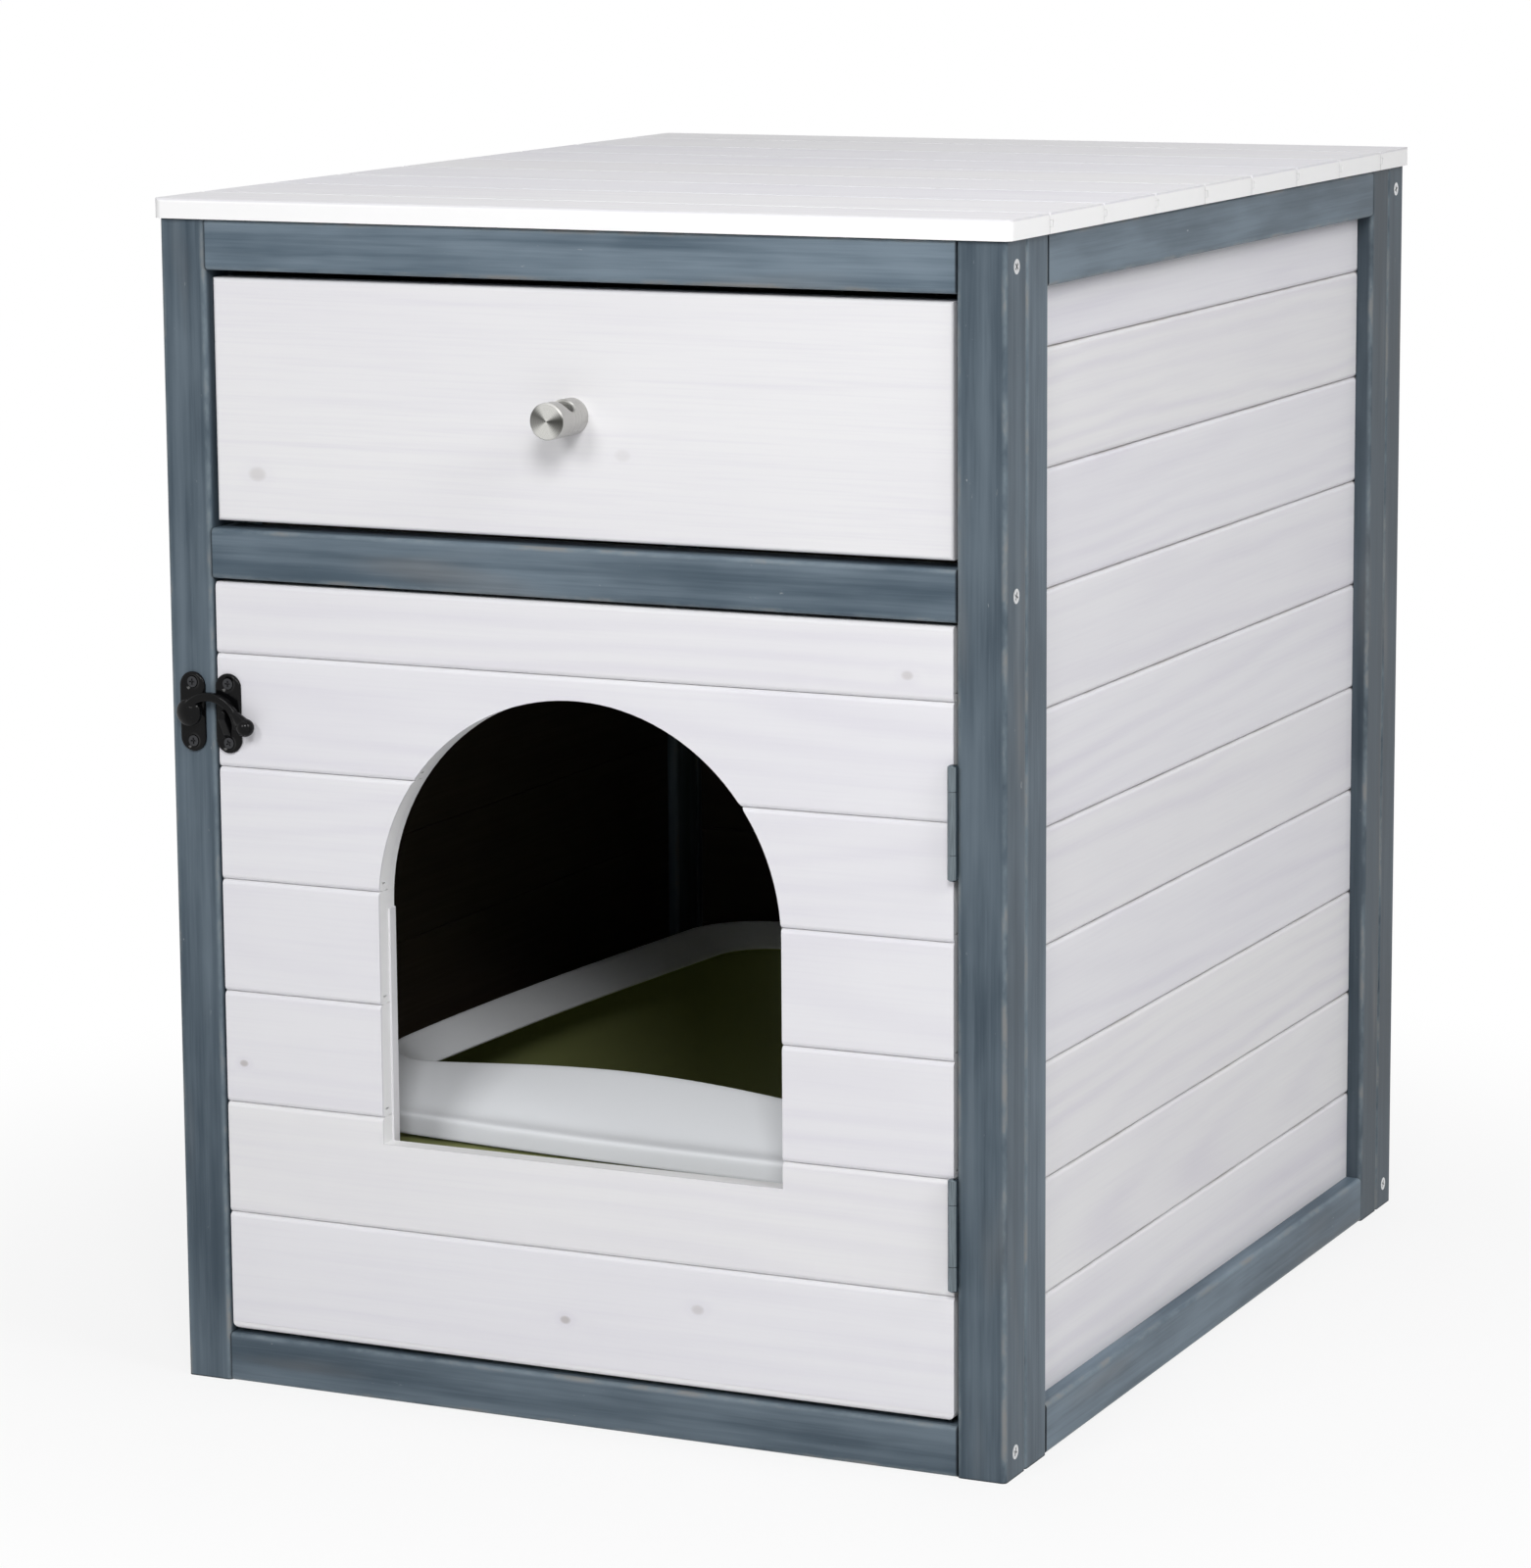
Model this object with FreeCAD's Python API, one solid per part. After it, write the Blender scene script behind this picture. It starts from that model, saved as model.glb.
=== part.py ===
"""Litter box cabinet: a framed timber box with a drawer, an arched door and a loose tray.

Millimetres. +X is right, +Y is back and +Z is up, seen by someone facing the door. The
front face of the frame is y = 0 while the pieces are made. move_to_origin then shifts
everything so that the origin is the middle of the footprint, at floor level.
"""
import FreeCAD, Part
import math
import os
from FreeCAD import Vector

# ---- Driving dimensions --------------------------------------------------------------

frame_width = 504.0
frame_depth = 645.0
frame_height = 660.0
timber = 28.0                  # side of every square frame timber
post_depth = 30.0              # side-frame posts, measured front to back
timber_ease = 2.5              # rounding of the long edges

board_thickness = 11.0
board_gap = 0.4                # between the shoulders of two boards
tongue_length = 4.0
tongue_thickness = 3.4
tongue_clearance = 0.3
face_round_across = 2.4        # rounded face edges, which make the soft V at each joint
face_round_deep = 1.7
corner_fullness = 0.28         # how far that rounding bulges towards the sharp corner
groove_depth = 6.0             # housing for the board ends in posts and rails
groove_clearance = 0.3
board_end_slack = 1.0          # room for the boards to move at the bottom of the housing
side_recess = 10.0             # board face behind the outer face of the timber
side_first_joint = 82.0
side_board_pitch = 64.5
top_overhang = 3.0
top_first_joint = 52.0
top_board_pitch = 77.0
top_corner_round = 6.0

middle_rail_bottom = 461.0
bottom_rail_top = timber
top_rail_bottom = frame_height - timber

door_gap = 2.0                 # all round the door
door_face_y = 0.5
door_first_joint = 99.0
door_board_pitch = 64.0
door_corner_round = 4.0
entrance_width = 245.0
entrance_bottom = 148.0
entrance_spring = 283.5        # height where the straight sides meet the half circle
backing_thickness = 7.5        # inner layer of the door
backing_bottom = 280.0
backing_top = 440.0
backing_inset = 1.0            # from the door's edge to its inner layer
backing_cut_back = 0.5         # the backing's arch is this much wider than the entrance
batten_show = 1.0              # how far the inner battens stand into the entrance
batten_bottom = 42.0
batten_ease = 1.0

hinge_length = 60.0
hinge_heights = {"upper": 356.0, "lower": 134.0}
barrel_radius = 2.75
hinge_pin_radius = 1.5
hinge_running_clearance = 0.05
leaf_thickness = 0.9
leaf_offset = 0.1              # between each leaf and the plane of the hinge's axis
barrel_stand_off = 0.15        # between the barrel and the front face of the frame
pin_dome_height = 1.2
pin_dome_inset = 0.1
leaf_reach = 17.0              # leaf edge, measured back from the front face
knuckle_gap = 0.3
outer_knuckle = 13.0
hinge_screw_radius = 1.3
hinge_screw_head = 2.5
hinge_screw_spacing = 21.5
hinge_screw_y = 6.0
hinge_middle_screw_y = 8.5

latch_height = 385.5
latch_plate_width = 16.0
latch_plate_length = 45.0
latch_plate_thickness = 2.2
latch_plate_ease = 1.2
latch_screw_spacing = 33.4
latch_pivot_x = 14.5           # from the outer face of the left stile
catch_x = 37.1
arm_centre_x = 27.8            # centre of the crescent
arm_centre_z = 377.1
arm_outer_radius = 20.5
arm_inner_radius = 15.6
arm_start_angle = 135.0        # the crescent's ends, in degrees up from the right
arm_end_angle = 2.0
arm_back_y = -4.2
arm_thickness = 4.0
arm_ease = 1.1
boss_radius = 7.7
boss_height = 5.0
boss_wall_share = 0.45         # share of the boss's height that is straight wall
seat_taper = 1.4               # the plate's round seat narrows by this under the boss
ball_x = 51.0
ball_z = 379.3
ball_radius = 5.2
ball_y = -6.7
pivot_pin_radius = 2.0
pivot_pin_clearance = 0.05
pivot_head_radius = 3.3        # riveted head behind the plate
pivot_head_thickness = 1.1
pivot_head_sunk = 0.1          # from the back of the plate to the rivet's head
pivot_pocket_clearance = 0.1
fin_half_width = 2.4           # raised fin of the catch
fin_middle_rise = 0.4          # its head's middle above the middle of the latch
fin_stand_out = 1.0            # its head's front beyond the arm's
fin_ramp_length = 13.5
fin_toe = 2.0

drawer_gap_side = 3.0
drawer_gap_height = 4.25
drawer_recess = 3.0
drawer_front_thickness = 18.0
drawer_ease = 2.0
drawer_side_thickness = 12.0
drawer_side_height = 112.0
drawer_length = 457.0          # from the face of the drawer front to the end of its sides
drawer_side_inset = 3.5        # from the frame opening to the drawer side
drawer_bottom_thickness = 4.0
drawer_bottom_lift = 7.0
drawer_bottom_housing = 4.0
runner_thickness = 9.0
runner_height = 14.0
runner_middle_z = 545.0
runner_groove_depth = 6.0
runner_slack = 0.5
runner_ease = 1.0
runner_front_gap = 3.0         # behind the drawer front
runner_screw_head = 3.6
runner_screw_length = 26.0

knob_radius = 10.0
knob_length = 30.0
knob_height = 560.0
knob_chamfer = 0.7
scoop_radius = 5.7
scoop_from_face = 14.5
scoop_rise = 9.7
knob_screw_bite = 12.0         # how far the screw goes into the knob
pan_head_thickness = 2.4

floor_thickness = 8.0
floor_rebate = 6.5
batten_width = 30.0            # battens under the top
batten_thickness = 12.0
batten_spacing = 300.0
door_stop_side = 10.0
door_stop_length = 120.0
door_stop_gap = 0.5

tray_half_width = 203.0
tray_half_length = 262.0
tray_turn = -4.0               # degrees, as it was pushed in
tray_middle = Vector(0.0, 318.0, 0.0)
tray_wall = 2.5
tray_floor_taper = 26.0        # how much the bottom is smaller than the mouth
tray_flange_top = 147.8
tray_corner_round = 82.0
tray_flange_width = 9.0
tray_rim_clearance = 0.4
tray_knee_width = 6.0          # slanted step between the tray's bottom and its walls
tray_knee_height = 7.0
tray_side_bow = 4.0            # how far the middle of each long side stands out
skirt_bow = 6.0                # how far the middle of each end stands out, at the skirt,
mouth_bow = 5.0                # the mouth
foot_bow = 4.0                 # and the foot of the tray
crest_bow = -7.0               # and at the crest of the rim, where it draws in
rim_bottom = 137.5
rim_wall = 2.2
rim_skirt_lean = 0.5
rim_shoulder = 2.0             # rounding between the skirt and the ledge
rim_ledge_rise = 1.0
rim_ledge_side = 5.0           # width of the ledge along the sides
rim_ledge_end = 10.0           # and along the ends
rim_crest_side = 18.0          # from the skirt to the start of the crest, at the sides
rim_crest_end = 43.0           # and at the ends
rim_crest = 170.0
rim_slope_steps = 3
rim_crest_width = 2.75
rim_lip_side = 38.0            # from the skirt to the lower edge of the lip, at the sides
rim_lip_end = 56.0             # and at the ends
rim_lip_bottom = 155.0

screw_shank_radius = 2.0
screw_head_radius = 4.0
screw_length = 70.0
small_shank_radius = 1.5
small_head_radius = 3.1
small_length = 12.5
screw_tip_ratio = 1.5          # length of a screw's point over its shank radius
spare = 5.0                    # how far a cutting shape reaches past what it cuts
near = 0.01                    # tolerance for finding an edge by its place

# ---- Worked-out positions --------------------------------------------------------------

half_width = frame_width / 2
opening = half_width - timber            # half the width between the stiles
inner_back = frame_depth - timber
middle_rail_top = middle_rail_bottom + timber
knob_tip_y = drawer_recess - knob_length
depth_middle = (knob_tip_y + frame_depth + top_overhang) / 2
door_left = -opening + door_gap
door_right = opening - door_gap
door_bottom = bottom_rail_top + door_gap + 1.0
door_top = middle_rail_bottom - door_gap
door_back_y = door_face_y + board_thickness
entrance_radius = entrance_width / 2
hinge_x = opening - door_gap / 2
hinge_y = -barrel_radius - barrel_stand_off

X_AXIS = Vector(1, 0, 0)
Y_AXIS = Vector(0, 1, 0)
Z_AXIS = Vector(0, 0, 1)

# ---- Shape helpers ----------------------------------------------------------------------


def box(x_low, x_high, y_low, y_high, z_low, z_high):
    """Return a block between two opposite corners."""
    size = (x_high - x_low, y_high - y_low, z_high - z_low)
    return Part.makeBox(*size, Vector(x_low, y_low, z_low))


def long_edges(shape, direction):
    """Return the straight edges of a shape that run along a direction."""
    found = []
    for edge in shape.Edges:
        if isinstance(edge.Curve, Part.Line):
            if abs(edge.tangentAt(edge.FirstParameter).dot(direction)) > 0.999:
                found.append(edge)
    return found


def timber_piece(x_low, x_high, y_low, y_high, z_low, z_high, direction):
    """Return one square timber with its long edges eased."""
    block = box(x_low, x_high, y_low, y_high, z_low, z_high)
    return block.makeFillet(timber_ease, long_edges(block, direction))


def polygon_face(points):
    """Return a flat face through a list of corners."""
    return Part.Face(Part.makePolygon(list(points) + [points[0]]))


def mirrored(shape):
    """Return the same piece for the other side of the cabinet."""
    return shape.mirror(Vector(0, 0, 0), X_AXIS)


def both_sides(shape):
    """Return a piece and its mirror image as a list."""
    return [shape, mirrored(shape)]


def countersunk_screw(head_point, direction, shank_radius, head_radius, length):
    """Return a screw whose head is flush at head_point and whose tip points along direction."""
    head_depth = head_radius - shank_radius
    tip = shank_radius * screw_tip_ratio
    outline = [
        Vector(0, 0, 0),
        Vector(head_radius, 0, 0),
        Vector(shank_radius, 0, head_depth),
        Vector(shank_radius, 0, length - tip),
        Vector(0, 0, length),
    ]
    screw = polygon_face(outline).revolve(Vector(0, 0, 0), Z_AXIS, 360)
    screw.Placement = FreeCAD.Placement(head_point, FreeCAD.Rotation(Z_AXIS, direction))
    return screw


def dome_arc(radius, base, rise):
    """Return the arc of a low dome in the XZ plane, from the rim of its base to the axis."""
    sphere_radius = (radius ** 2 + rise ** 2) / (2 * abs(rise))
    half_angle = math.asin(radius / sphere_radius) / 2
    sink = sphere_radius * (1 - math.cos(half_angle))
    bulge = Vector(sphere_radius * math.sin(half_angle), 0,
                   base + rise - math.copysign(sink, rise))
    return Part.Arc(Vector(radius, 0, base), bulge, Vector(0, 0, base + rise))


def cut_all(shape, tools):
    """Return a shape with several others taken out of it."""
    for tool in tools:
        shape = shape.cut(tool)
    return shape


# ---- Tongue and groove boards ------------------------------------------------------------


def board_outline(low, high, has_groove, has_tongue):
    """Return the closed section of a board: x is depth behind its face, y is across it."""
    middle = board_thickness / 2
    low_edge = low + board_gap / 2 if has_groove else low
    high_edge = high - board_gap / 2 if has_tongue else high
    half_groove = tongue_thickness / 2 + tongue_clearance / 2
    half_tongue = tongue_thickness / 2
    slot = tongue_length + board_gap + tongue_clearance
    points = [Vector(face_round_deep, low_edge, 0)]
    if has_groove:
        points.append(Vector(middle - half_groove, low_edge, 0))
        points.append(Vector(middle - half_groove, low_edge + slot, 0))
        points.append(Vector(middle + half_groove, low_edge + slot, 0))
        points.append(Vector(middle + half_groove, low_edge, 0))
    points.append(Vector(board_thickness, low_edge, 0))
    points.append(Vector(board_thickness, high_edge, 0))
    if has_tongue:
        points.append(Vector(middle + half_tongue, high_edge, 0))
        points.append(Vector(middle + half_tongue, high_edge + tongue_length, 0))
        points.append(Vector(middle - half_tongue, high_edge + tongue_length, 0))
        points.append(Vector(middle - half_tongue, high_edge, 0))
    points.append(Vector(face_round_deep, high_edge, 0))
    edges = [Part.LineSegment(a, b).toShape() for a, b in zip(points, points[1:])]
    high_face = Vector(0, high_edge - face_round_across, 0)
    low_face = Vector(0, low_edge + face_round_across, 0)
    edges.append(soft_corner(points[-1], high_face))
    edges.append(Part.LineSegment(high_face, low_face).toShape())
    edges.append(soft_corner(low_face, points[0]))
    return Part.Face(Part.Wire(edges))


def soft_corner(start, end):
    """Return the rounded edge between a board's side and its face."""
    corner = Vector(min(start.x, end.x), 0, 0)
    corner.y = start.y if start.x > end.x else end.y
    bulge = (start + end) * 0.5 * (1 - corner_fullness) + corner * corner_fullness
    return Part.Arc(start, bulge, end).toShape()


def board_panel(low, high, first_joint, pitch, length):
    """Return the boards that fill low to high, lying along +Z with their faces at x = 0."""
    joints = []
    joint = first_joint
    while joint < high - board_gap - tongue_length:
        joints.append(joint)
        joint += pitch
    limits = [low] + joints + [high]
    boards = []
    for index in range(len(limits) - 1):
        section = board_outline(limits[index], limits[index + 1], index > 0, index < len(joints))
        boards.append(section.extrude(Vector(0, 0, length)))
    return boards


# ---- Frame -------------------------------------------------------------------------------


def frame_screw_list():
    """Return the screws that hold the rails between the stiles, for both sides."""
    screws = []
    for y_middle, rails in ((timber / 2, front_rail_heights()),
                            (frame_depth - timber / 2, back_rail_heights())):
        for z_middle in rails:
            head = Vector(half_width, y_middle, z_middle)
            right = countersunk_screw(head, -X_AXIS, screw_shank_radius, screw_head_radius,
                                      screw_length)
            screws += both_sides(right)
    return screws


def front_rail_heights():
    """Return the middle heights of the three front rails."""
    return [timber / 2, middle_rail_bottom + timber / 2, frame_height - timber / 2]


def back_rail_heights():
    """Return the middle heights of the two back rails."""
    return [timber / 2, frame_height - timber / 2]


def side_board_slot():
    """Return the space that the right side boards take up in their frame, with clearance."""
    outer = half_width - side_recess + groove_clearance / 2
    inner = half_width - side_recess - board_thickness - groove_clearance / 2
    y_low = timber + post_depth - groove_depth
    y_high = inner_back - post_depth + groove_depth
    z_low = bottom_rail_top - groove_depth
    z_high = top_rail_bottom + groove_depth
    return box(inner, outer, y_low, y_high, z_low, z_high)


def back_board_slot():
    """Return the space that the back boards take up in their frame, with clearance."""
    y_high = frame_depth - side_recess + groove_clearance / 2
    y_low = frame_depth - side_recess - board_thickness - groove_clearance / 2
    reach = opening + groove_depth
    z_low = bottom_rail_top - groove_depth
    z_high = top_rail_bottom + groove_depth
    return box(-reach, reach, y_low, y_high, z_low, z_high)


def floor_space():
    """Return the floor panel: it lies in a rebate of the four bottom rails."""
    z_low = bottom_rail_top - floor_thickness
    across = box(-opening, opening, timber - floor_rebate, inner_back + floor_rebate,
                 z_low, bottom_rail_top)
    reach = opening + floor_rebate
    between_posts = box(-reach, reach, timber + post_depth, inner_back - post_depth,
                        z_low, bottom_rail_top)
    return across.fuse(between_posts).removeSplitter()


def front_frame(screws):
    """Return the stiles and rails of the front."""
    floor = floor_space()
    left_stile = timber_piece(-half_width, -opening, 0, timber, 0, frame_height, Z_AXIS)
    pieces = {
        "front_left_stile": cut_all(left_stile, screws),
        "front_right_stile": cut_all(mirrored(left_stile), screws),
    }
    for name, z_middle in zip(("bottom", "middle", "top"), front_rail_heights()):
        rail = timber_piece(-opening, opening, 0, timber,
                            z_middle - timber / 2, z_middle + timber / 2, X_AXIS)
        pieces["front_" + name + "_rail"] = cut_all(rail, screws + [floor])
    return pieces


def back_frame(screws):
    """Return the stiles, rails and boards of the back."""
    slot = back_board_slot()
    floor = floor_space()
    left_stile = timber_piece(-half_width, -opening, inner_back, frame_depth,
                              0, frame_height, Z_AXIS)
    pieces = {
        "back_left_stile": cut_all(left_stile, screws + [slot]),
        "back_right_stile": cut_all(mirrored(left_stile), screws + [slot]),
    }
    for name, z_middle in zip(("bottom", "top"), back_rail_heights()):
        rail = timber_piece(-opening, opening, inner_back, frame_depth,
                            z_middle - timber / 2, z_middle + timber / 2, X_AXIS)
        pieces["back_" + name + "_rail"] = cut_all(rail, screws + [slot, floor])
    housed = groove_depth - board_end_slack
    reach = opening + housed
    boards = board_panel(bottom_rail_top - housed, top_rail_bottom + housed,
                         side_first_joint, side_board_pitch, 2 * reach)
    corner = Vector(reach, frame_depth - side_recess, 0)
    pieces["back_boards"] = Part.Compound(turned(boards, "back", corner))
    return pieces


def turned(boards, facing, corner):
    """Return boards stood up to face a side, with the end of their face at a corner."""
    directions = {
        "front": (Y_AXIS, Z_AXIS, X_AXIS),
        "back": (-Y_AXIS, Z_AXIS, -X_AXIS),
        "right": (-X_AXIS, Z_AXIS, Y_AXIS),
        "up": (-Z_AXIS, Y_AXIS, X_AXIS),
    }
    depth, across, along = directions[facing]
    turn = FreeCAD.Rotation(depth, across, along, "ZXY")
    place = FreeCAD.Placement(corner, turn)
    moved = []
    for board in boards:
        board = board.copy()
        board.Placement = place
        moved.append(board)
    return moved


def side_frame(side):
    """Return the posts, rails and boards of one side."""
    slot = side_board_slot()
    floor = floor_space()
    y_low = timber
    y_high = inner_back
    front_post = timber_piece(opening, half_width, y_low, y_low + post_depth,
                              0, frame_height, Z_AXIS)
    rear_post = timber_piece(opening, half_width, y_high - post_depth, y_high,
                             0, frame_height, Z_AXIS)
    bottom_rail = timber_piece(opening, half_width, y_low + post_depth, y_high - post_depth,
                               0, bottom_rail_top, Y_AXIS)
    top_rail = timber_piece(opening, half_width, y_low + post_depth, y_high - post_depth,
                            top_rail_bottom, frame_height, Y_AXIS)
    housed = groove_depth - board_end_slack
    start = y_low + post_depth - housed
    length = y_high - post_depth + housed - start
    boards = board_panel(bottom_rail_top - housed, top_rail_bottom + housed,
                         side_first_joint, side_board_pitch, length)
    boards = turned(boards, "right", Vector(half_width - side_recess, start, 0))
    pieces = {
        "front_post": front_post.cut(slot),
        "rear_post": rear_post.cut(slot),
        "bottom_rail": cut_all(bottom_rail, [slot, floor]),
        "top_rail": top_rail.cut(slot),
        "side_boards": Part.Compound(boards),
    }
    if side == "left":
        pieces = {name: mirrored(shape) for name, shape in pieces.items()}
    return {side + "_" + name: shape for name, shape in pieces.items()}


def top_panel():
    """Return the top boards, rounded at the corners, and the two battens under them."""
    half_top = half_width + top_overhang
    y_low = -top_overhang
    y_high = frame_depth + top_overhang
    boards = board_panel(y_low, y_high, top_first_joint, top_board_pitch, 2 * half_top)
    boards = turned(boards, "up", Vector(-half_top, 0, frame_height + board_thickness))
    outline = box(-half_top, half_top, y_low, y_high, frame_height, frame_height + board_thickness)
    rounded = outline.makeFillet(top_corner_round, long_edges(outline, Z_AXIS))
    boards[0] = boards[0].common(rounded)
    boards[-1] = boards[-1].common(rounded)
    x_middle = batten_spacing / 2
    batten = timber_piece(x_middle - batten_width / 2, x_middle + batten_width / 2,
                          timber, inner_back, frame_height - batten_thickness, frame_height, Y_AXIS)
    return {
        "top_boards": Part.Compound(boards),
        "top_right_batten": batten,
        "top_left_batten": mirrored(batten),
    }


# ---- Door --------------------------------------------------------------------------------


def arch_opening(extra, y_low, y_high):
    """Return the block of air in the arched entrance, widened all round by extra."""
    radius = entrance_radius + extra
    low_left = Vector(-radius, y_low, entrance_bottom - extra)
    low_right = Vector(radius, y_low, entrance_bottom - extra)
    spring_left = Vector(-radius, y_low, entrance_spring)
    spring_right = Vector(radius, y_low, entrance_spring)
    crown = Vector(0, y_low, entrance_spring + radius)
    edges = [
        Part.LineSegment(low_left, low_right).toShape(),
        Part.LineSegment(low_right, spring_right).toShape(),
        Part.Arc(spring_right, crown, spring_left).toShape(),
        Part.LineSegment(spring_left, low_left).toShape(),
    ]
    return Part.Face(Part.Wire(edges)).extrude(Vector(0, y_high - y_low, 0))


def door_board_at(height):
    """Return which board of the door, counted from the bottom, is at a height."""
    return int((height - door_first_joint) // door_board_pitch) + 1


def door_leaf():
    """Return the boards, backing and battens of the door."""
    boards = board_panel(door_bottom, door_top, door_first_joint, door_board_pitch,
                         door_right - door_left)
    boards = turned(boards, "front", Vector(door_left, door_face_y, 0))
    outline = box(door_left, door_right, door_face_y, door_back_y, door_bottom, door_top)
    low_corners = [edge for edge in long_edges(outline, Y_AXIS)
                   if edge.CenterOfMass.z < door_first_joint]
    boards[0] = boards[0].common(outline.makeFillet(door_corner_round, low_corners))
    entrance = arch_opening(0.0, door_face_y - spare, door_back_y + spare)
    boards = [board.cut(entrance) for board in boards]
    crown_board = boards.pop(door_board_at(entrance_spring + entrance_radius))
    sill_board = boards.pop(door_board_at(entrance_bottom))
    inner_y = door_back_y + backing_thickness
    inner_right = door_right - backing_inset
    backing = box(-inner_right, inner_right, door_back_y, inner_y, backing_bottom, backing_top)
    backing = backing.cut(arch_opening(backing_cut_back, door_back_y - spare, inner_y + spare))
    batten = box(entrance_radius - batten_show, inner_right, door_back_y, inner_y,
                 batten_bottom, backing_bottom)
    inner_edges = [edge for edge in long_edges(batten, Z_AXIS)
                   if edge.CenterOfMass.y > inner_y - near]
    batten = batten.makeChamfer(batten_ease, inner_edges)
    return {
        "door_boards": Part.Compound([solid for board in boards for solid in board.Solids]),
        "door_sill_board": sill_board,
        "door_crown_board": crown_board,
        "door_arch_backing": backing,
        "door_right_batten": batten,
        "door_left_batten": mirrored(batten),
    }


def knuckle(z_low, z_high, bore_radius, leaf_side):
    """Return one hinge knuckle with the web that joins it to its leaf."""
    tube = Part.makeCylinder(barrel_radius, z_high - z_low, Vector(hinge_x, hinge_y, z_low))
    web_low = hinge_x + (leaf_offset if leaf_side > 0 else -leaf_offset - leaf_thickness)
    web = box(web_low, web_low + leaf_thickness, hinge_y, door_face_y + leaf_thickness,
              z_low, z_high)
    bore = Part.makeCylinder(bore_radius, z_high - z_low, Vector(hinge_x, hinge_y, z_low))
    return tube.fuse(web).cut(bore)


def hinge_screw(head_point, direction):
    """Return one of the small screws that hold a hinge leaf."""
    return countersunk_screw(head_point, direction, hinge_screw_radius, hinge_screw_head,
                             small_length)


def hinge(z_middle):
    """Return the frame leaf, door leaf, pin and both groups of screws of one hinge."""
    z_low = z_middle - hinge_length / 2
    z_high = z_middle + hinge_length / 2
    lower_split = z_low + outer_knuckle
    upper_split = z_high - outer_knuckle
    frame_side = hinge_x + leaf_offset
    door_side = hinge_x - leaf_offset
    frame_plate = box(frame_side, frame_side + leaf_thickness, door_face_y, leaf_reach,
                      z_low, z_high)
    door_plate = box(door_side - leaf_thickness, door_side, door_face_y, leaf_reach,
                     z_low, z_high)
    frame_leaf = frame_plate.fuse([
        knuckle(z_low, lower_split, hinge_pin_radius, 1),
        knuckle(upper_split, z_high, hinge_pin_radius, 1)])
    door_bore = hinge_pin_radius + hinge_running_clearance
    door_leaf_shape = door_plate.fuse(
        knuckle(lower_split + knuckle_gap, upper_split - knuckle_gap, door_bore, -1))
    frame_screws = []
    door_screws = []
    for step in (-1, 0, 1):
        z_screw = z_middle + step * hinge_screw_spacing
        y_screw = hinge_screw_y if step else hinge_middle_screw_y
        frame_screws.append(hinge_screw(Vector(frame_side, y_screw, z_screw), X_AXIS))
        door_screws.append(hinge_screw(Vector(door_side, y_screw, z_screw), -X_AXIS))
    return {
        "frame_leaf": cut_all(frame_leaf.removeSplitter(), frame_screws),
        "door_leaf": cut_all(door_leaf_shape.removeSplitter(), door_screws),
        "pin": hinge_pin(z_low, z_high),
        "frame_screws": frame_screws,
        "door_screws": door_screws,
    }


def hinge_pin(z_low, z_high):
    """Return a hinge pin with a low dome at each end."""
    dome_radius = barrel_radius - pin_dome_inset
    length = z_high - z_low
    edges = [
        dome_arc(dome_radius, 0, -pin_dome_height),
        Part.LineSegment(Vector(dome_radius, 0, 0), Vector(hinge_pin_radius, 0, 0)),
        Part.LineSegment(Vector(hinge_pin_radius, 0, 0), Vector(hinge_pin_radius, 0, length)),
        Part.LineSegment(Vector(hinge_pin_radius, 0, length), Vector(dome_radius, 0, length)),
        dome_arc(dome_radius, length, pin_dome_height),
        Part.LineSegment(Vector(0, 0, length + pin_dome_height), Vector(0, 0, -pin_dome_height)),
    ]
    outline = Part.Face(Part.Wire([edge.toShape() for edge in edges]))
    pin = outline.revolve(Vector(0, 0, 0), Z_AXIS, 360)
    pin.translate(Vector(hinge_x, hinge_y, z_low))
    return pin


# ---- Latch -------------------------------------------------------------------------------


def from_left(x):
    """Return the row's x for a distance from the outer face of the left stile."""
    return x - half_width


def latch_plate_blank(x_middle, face_y):
    """Return an oblong plate with round ends and a soft front edge, lying on face_y."""
    radius = latch_plate_width / 2
    straight = latch_plate_length / 2 - radius
    left = x_middle - radius
    right = x_middle + radius
    low = latch_height - straight
    high = latch_height + straight
    edges = [
        Part.LineSegment(Vector(left, face_y, high), Vector(left, face_y, low)).toShape(),
        Part.Arc(Vector(left, face_y, low), Vector(x_middle, face_y, low - radius),
                 Vector(right, face_y, low)).toShape(),
        Part.LineSegment(Vector(right, face_y, low), Vector(right, face_y, high)).toShape(),
        Part.Arc(Vector(right, face_y, high), Vector(x_middle, face_y, high + radius),
                 Vector(left, face_y, high)).toShape(),
    ]
    plate = Part.Face(Part.Wire(edges)).extrude(Vector(0, -latch_plate_thickness, 0))
    front_y = face_y - latch_plate_thickness
    rim = [edge for edge in plate.Edges
           if abs(edge.CenterOfMass.y - front_y) < near]
    return plate.makeFillet(latch_plate_ease, rim)


def plate_screws(x_middle, face_y):
    """Return the two small screws of a latch plate."""
    screws = []
    for side in (-1, 1):
        head = Vector(x_middle, face_y - latch_plate_thickness, latch_height
                      + side * latch_screw_spacing / 2)
        screws.append(countersunk_screw(head, Y_AXIS, small_shank_radius, small_head_radius,
                                        small_length))
    return screws


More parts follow.
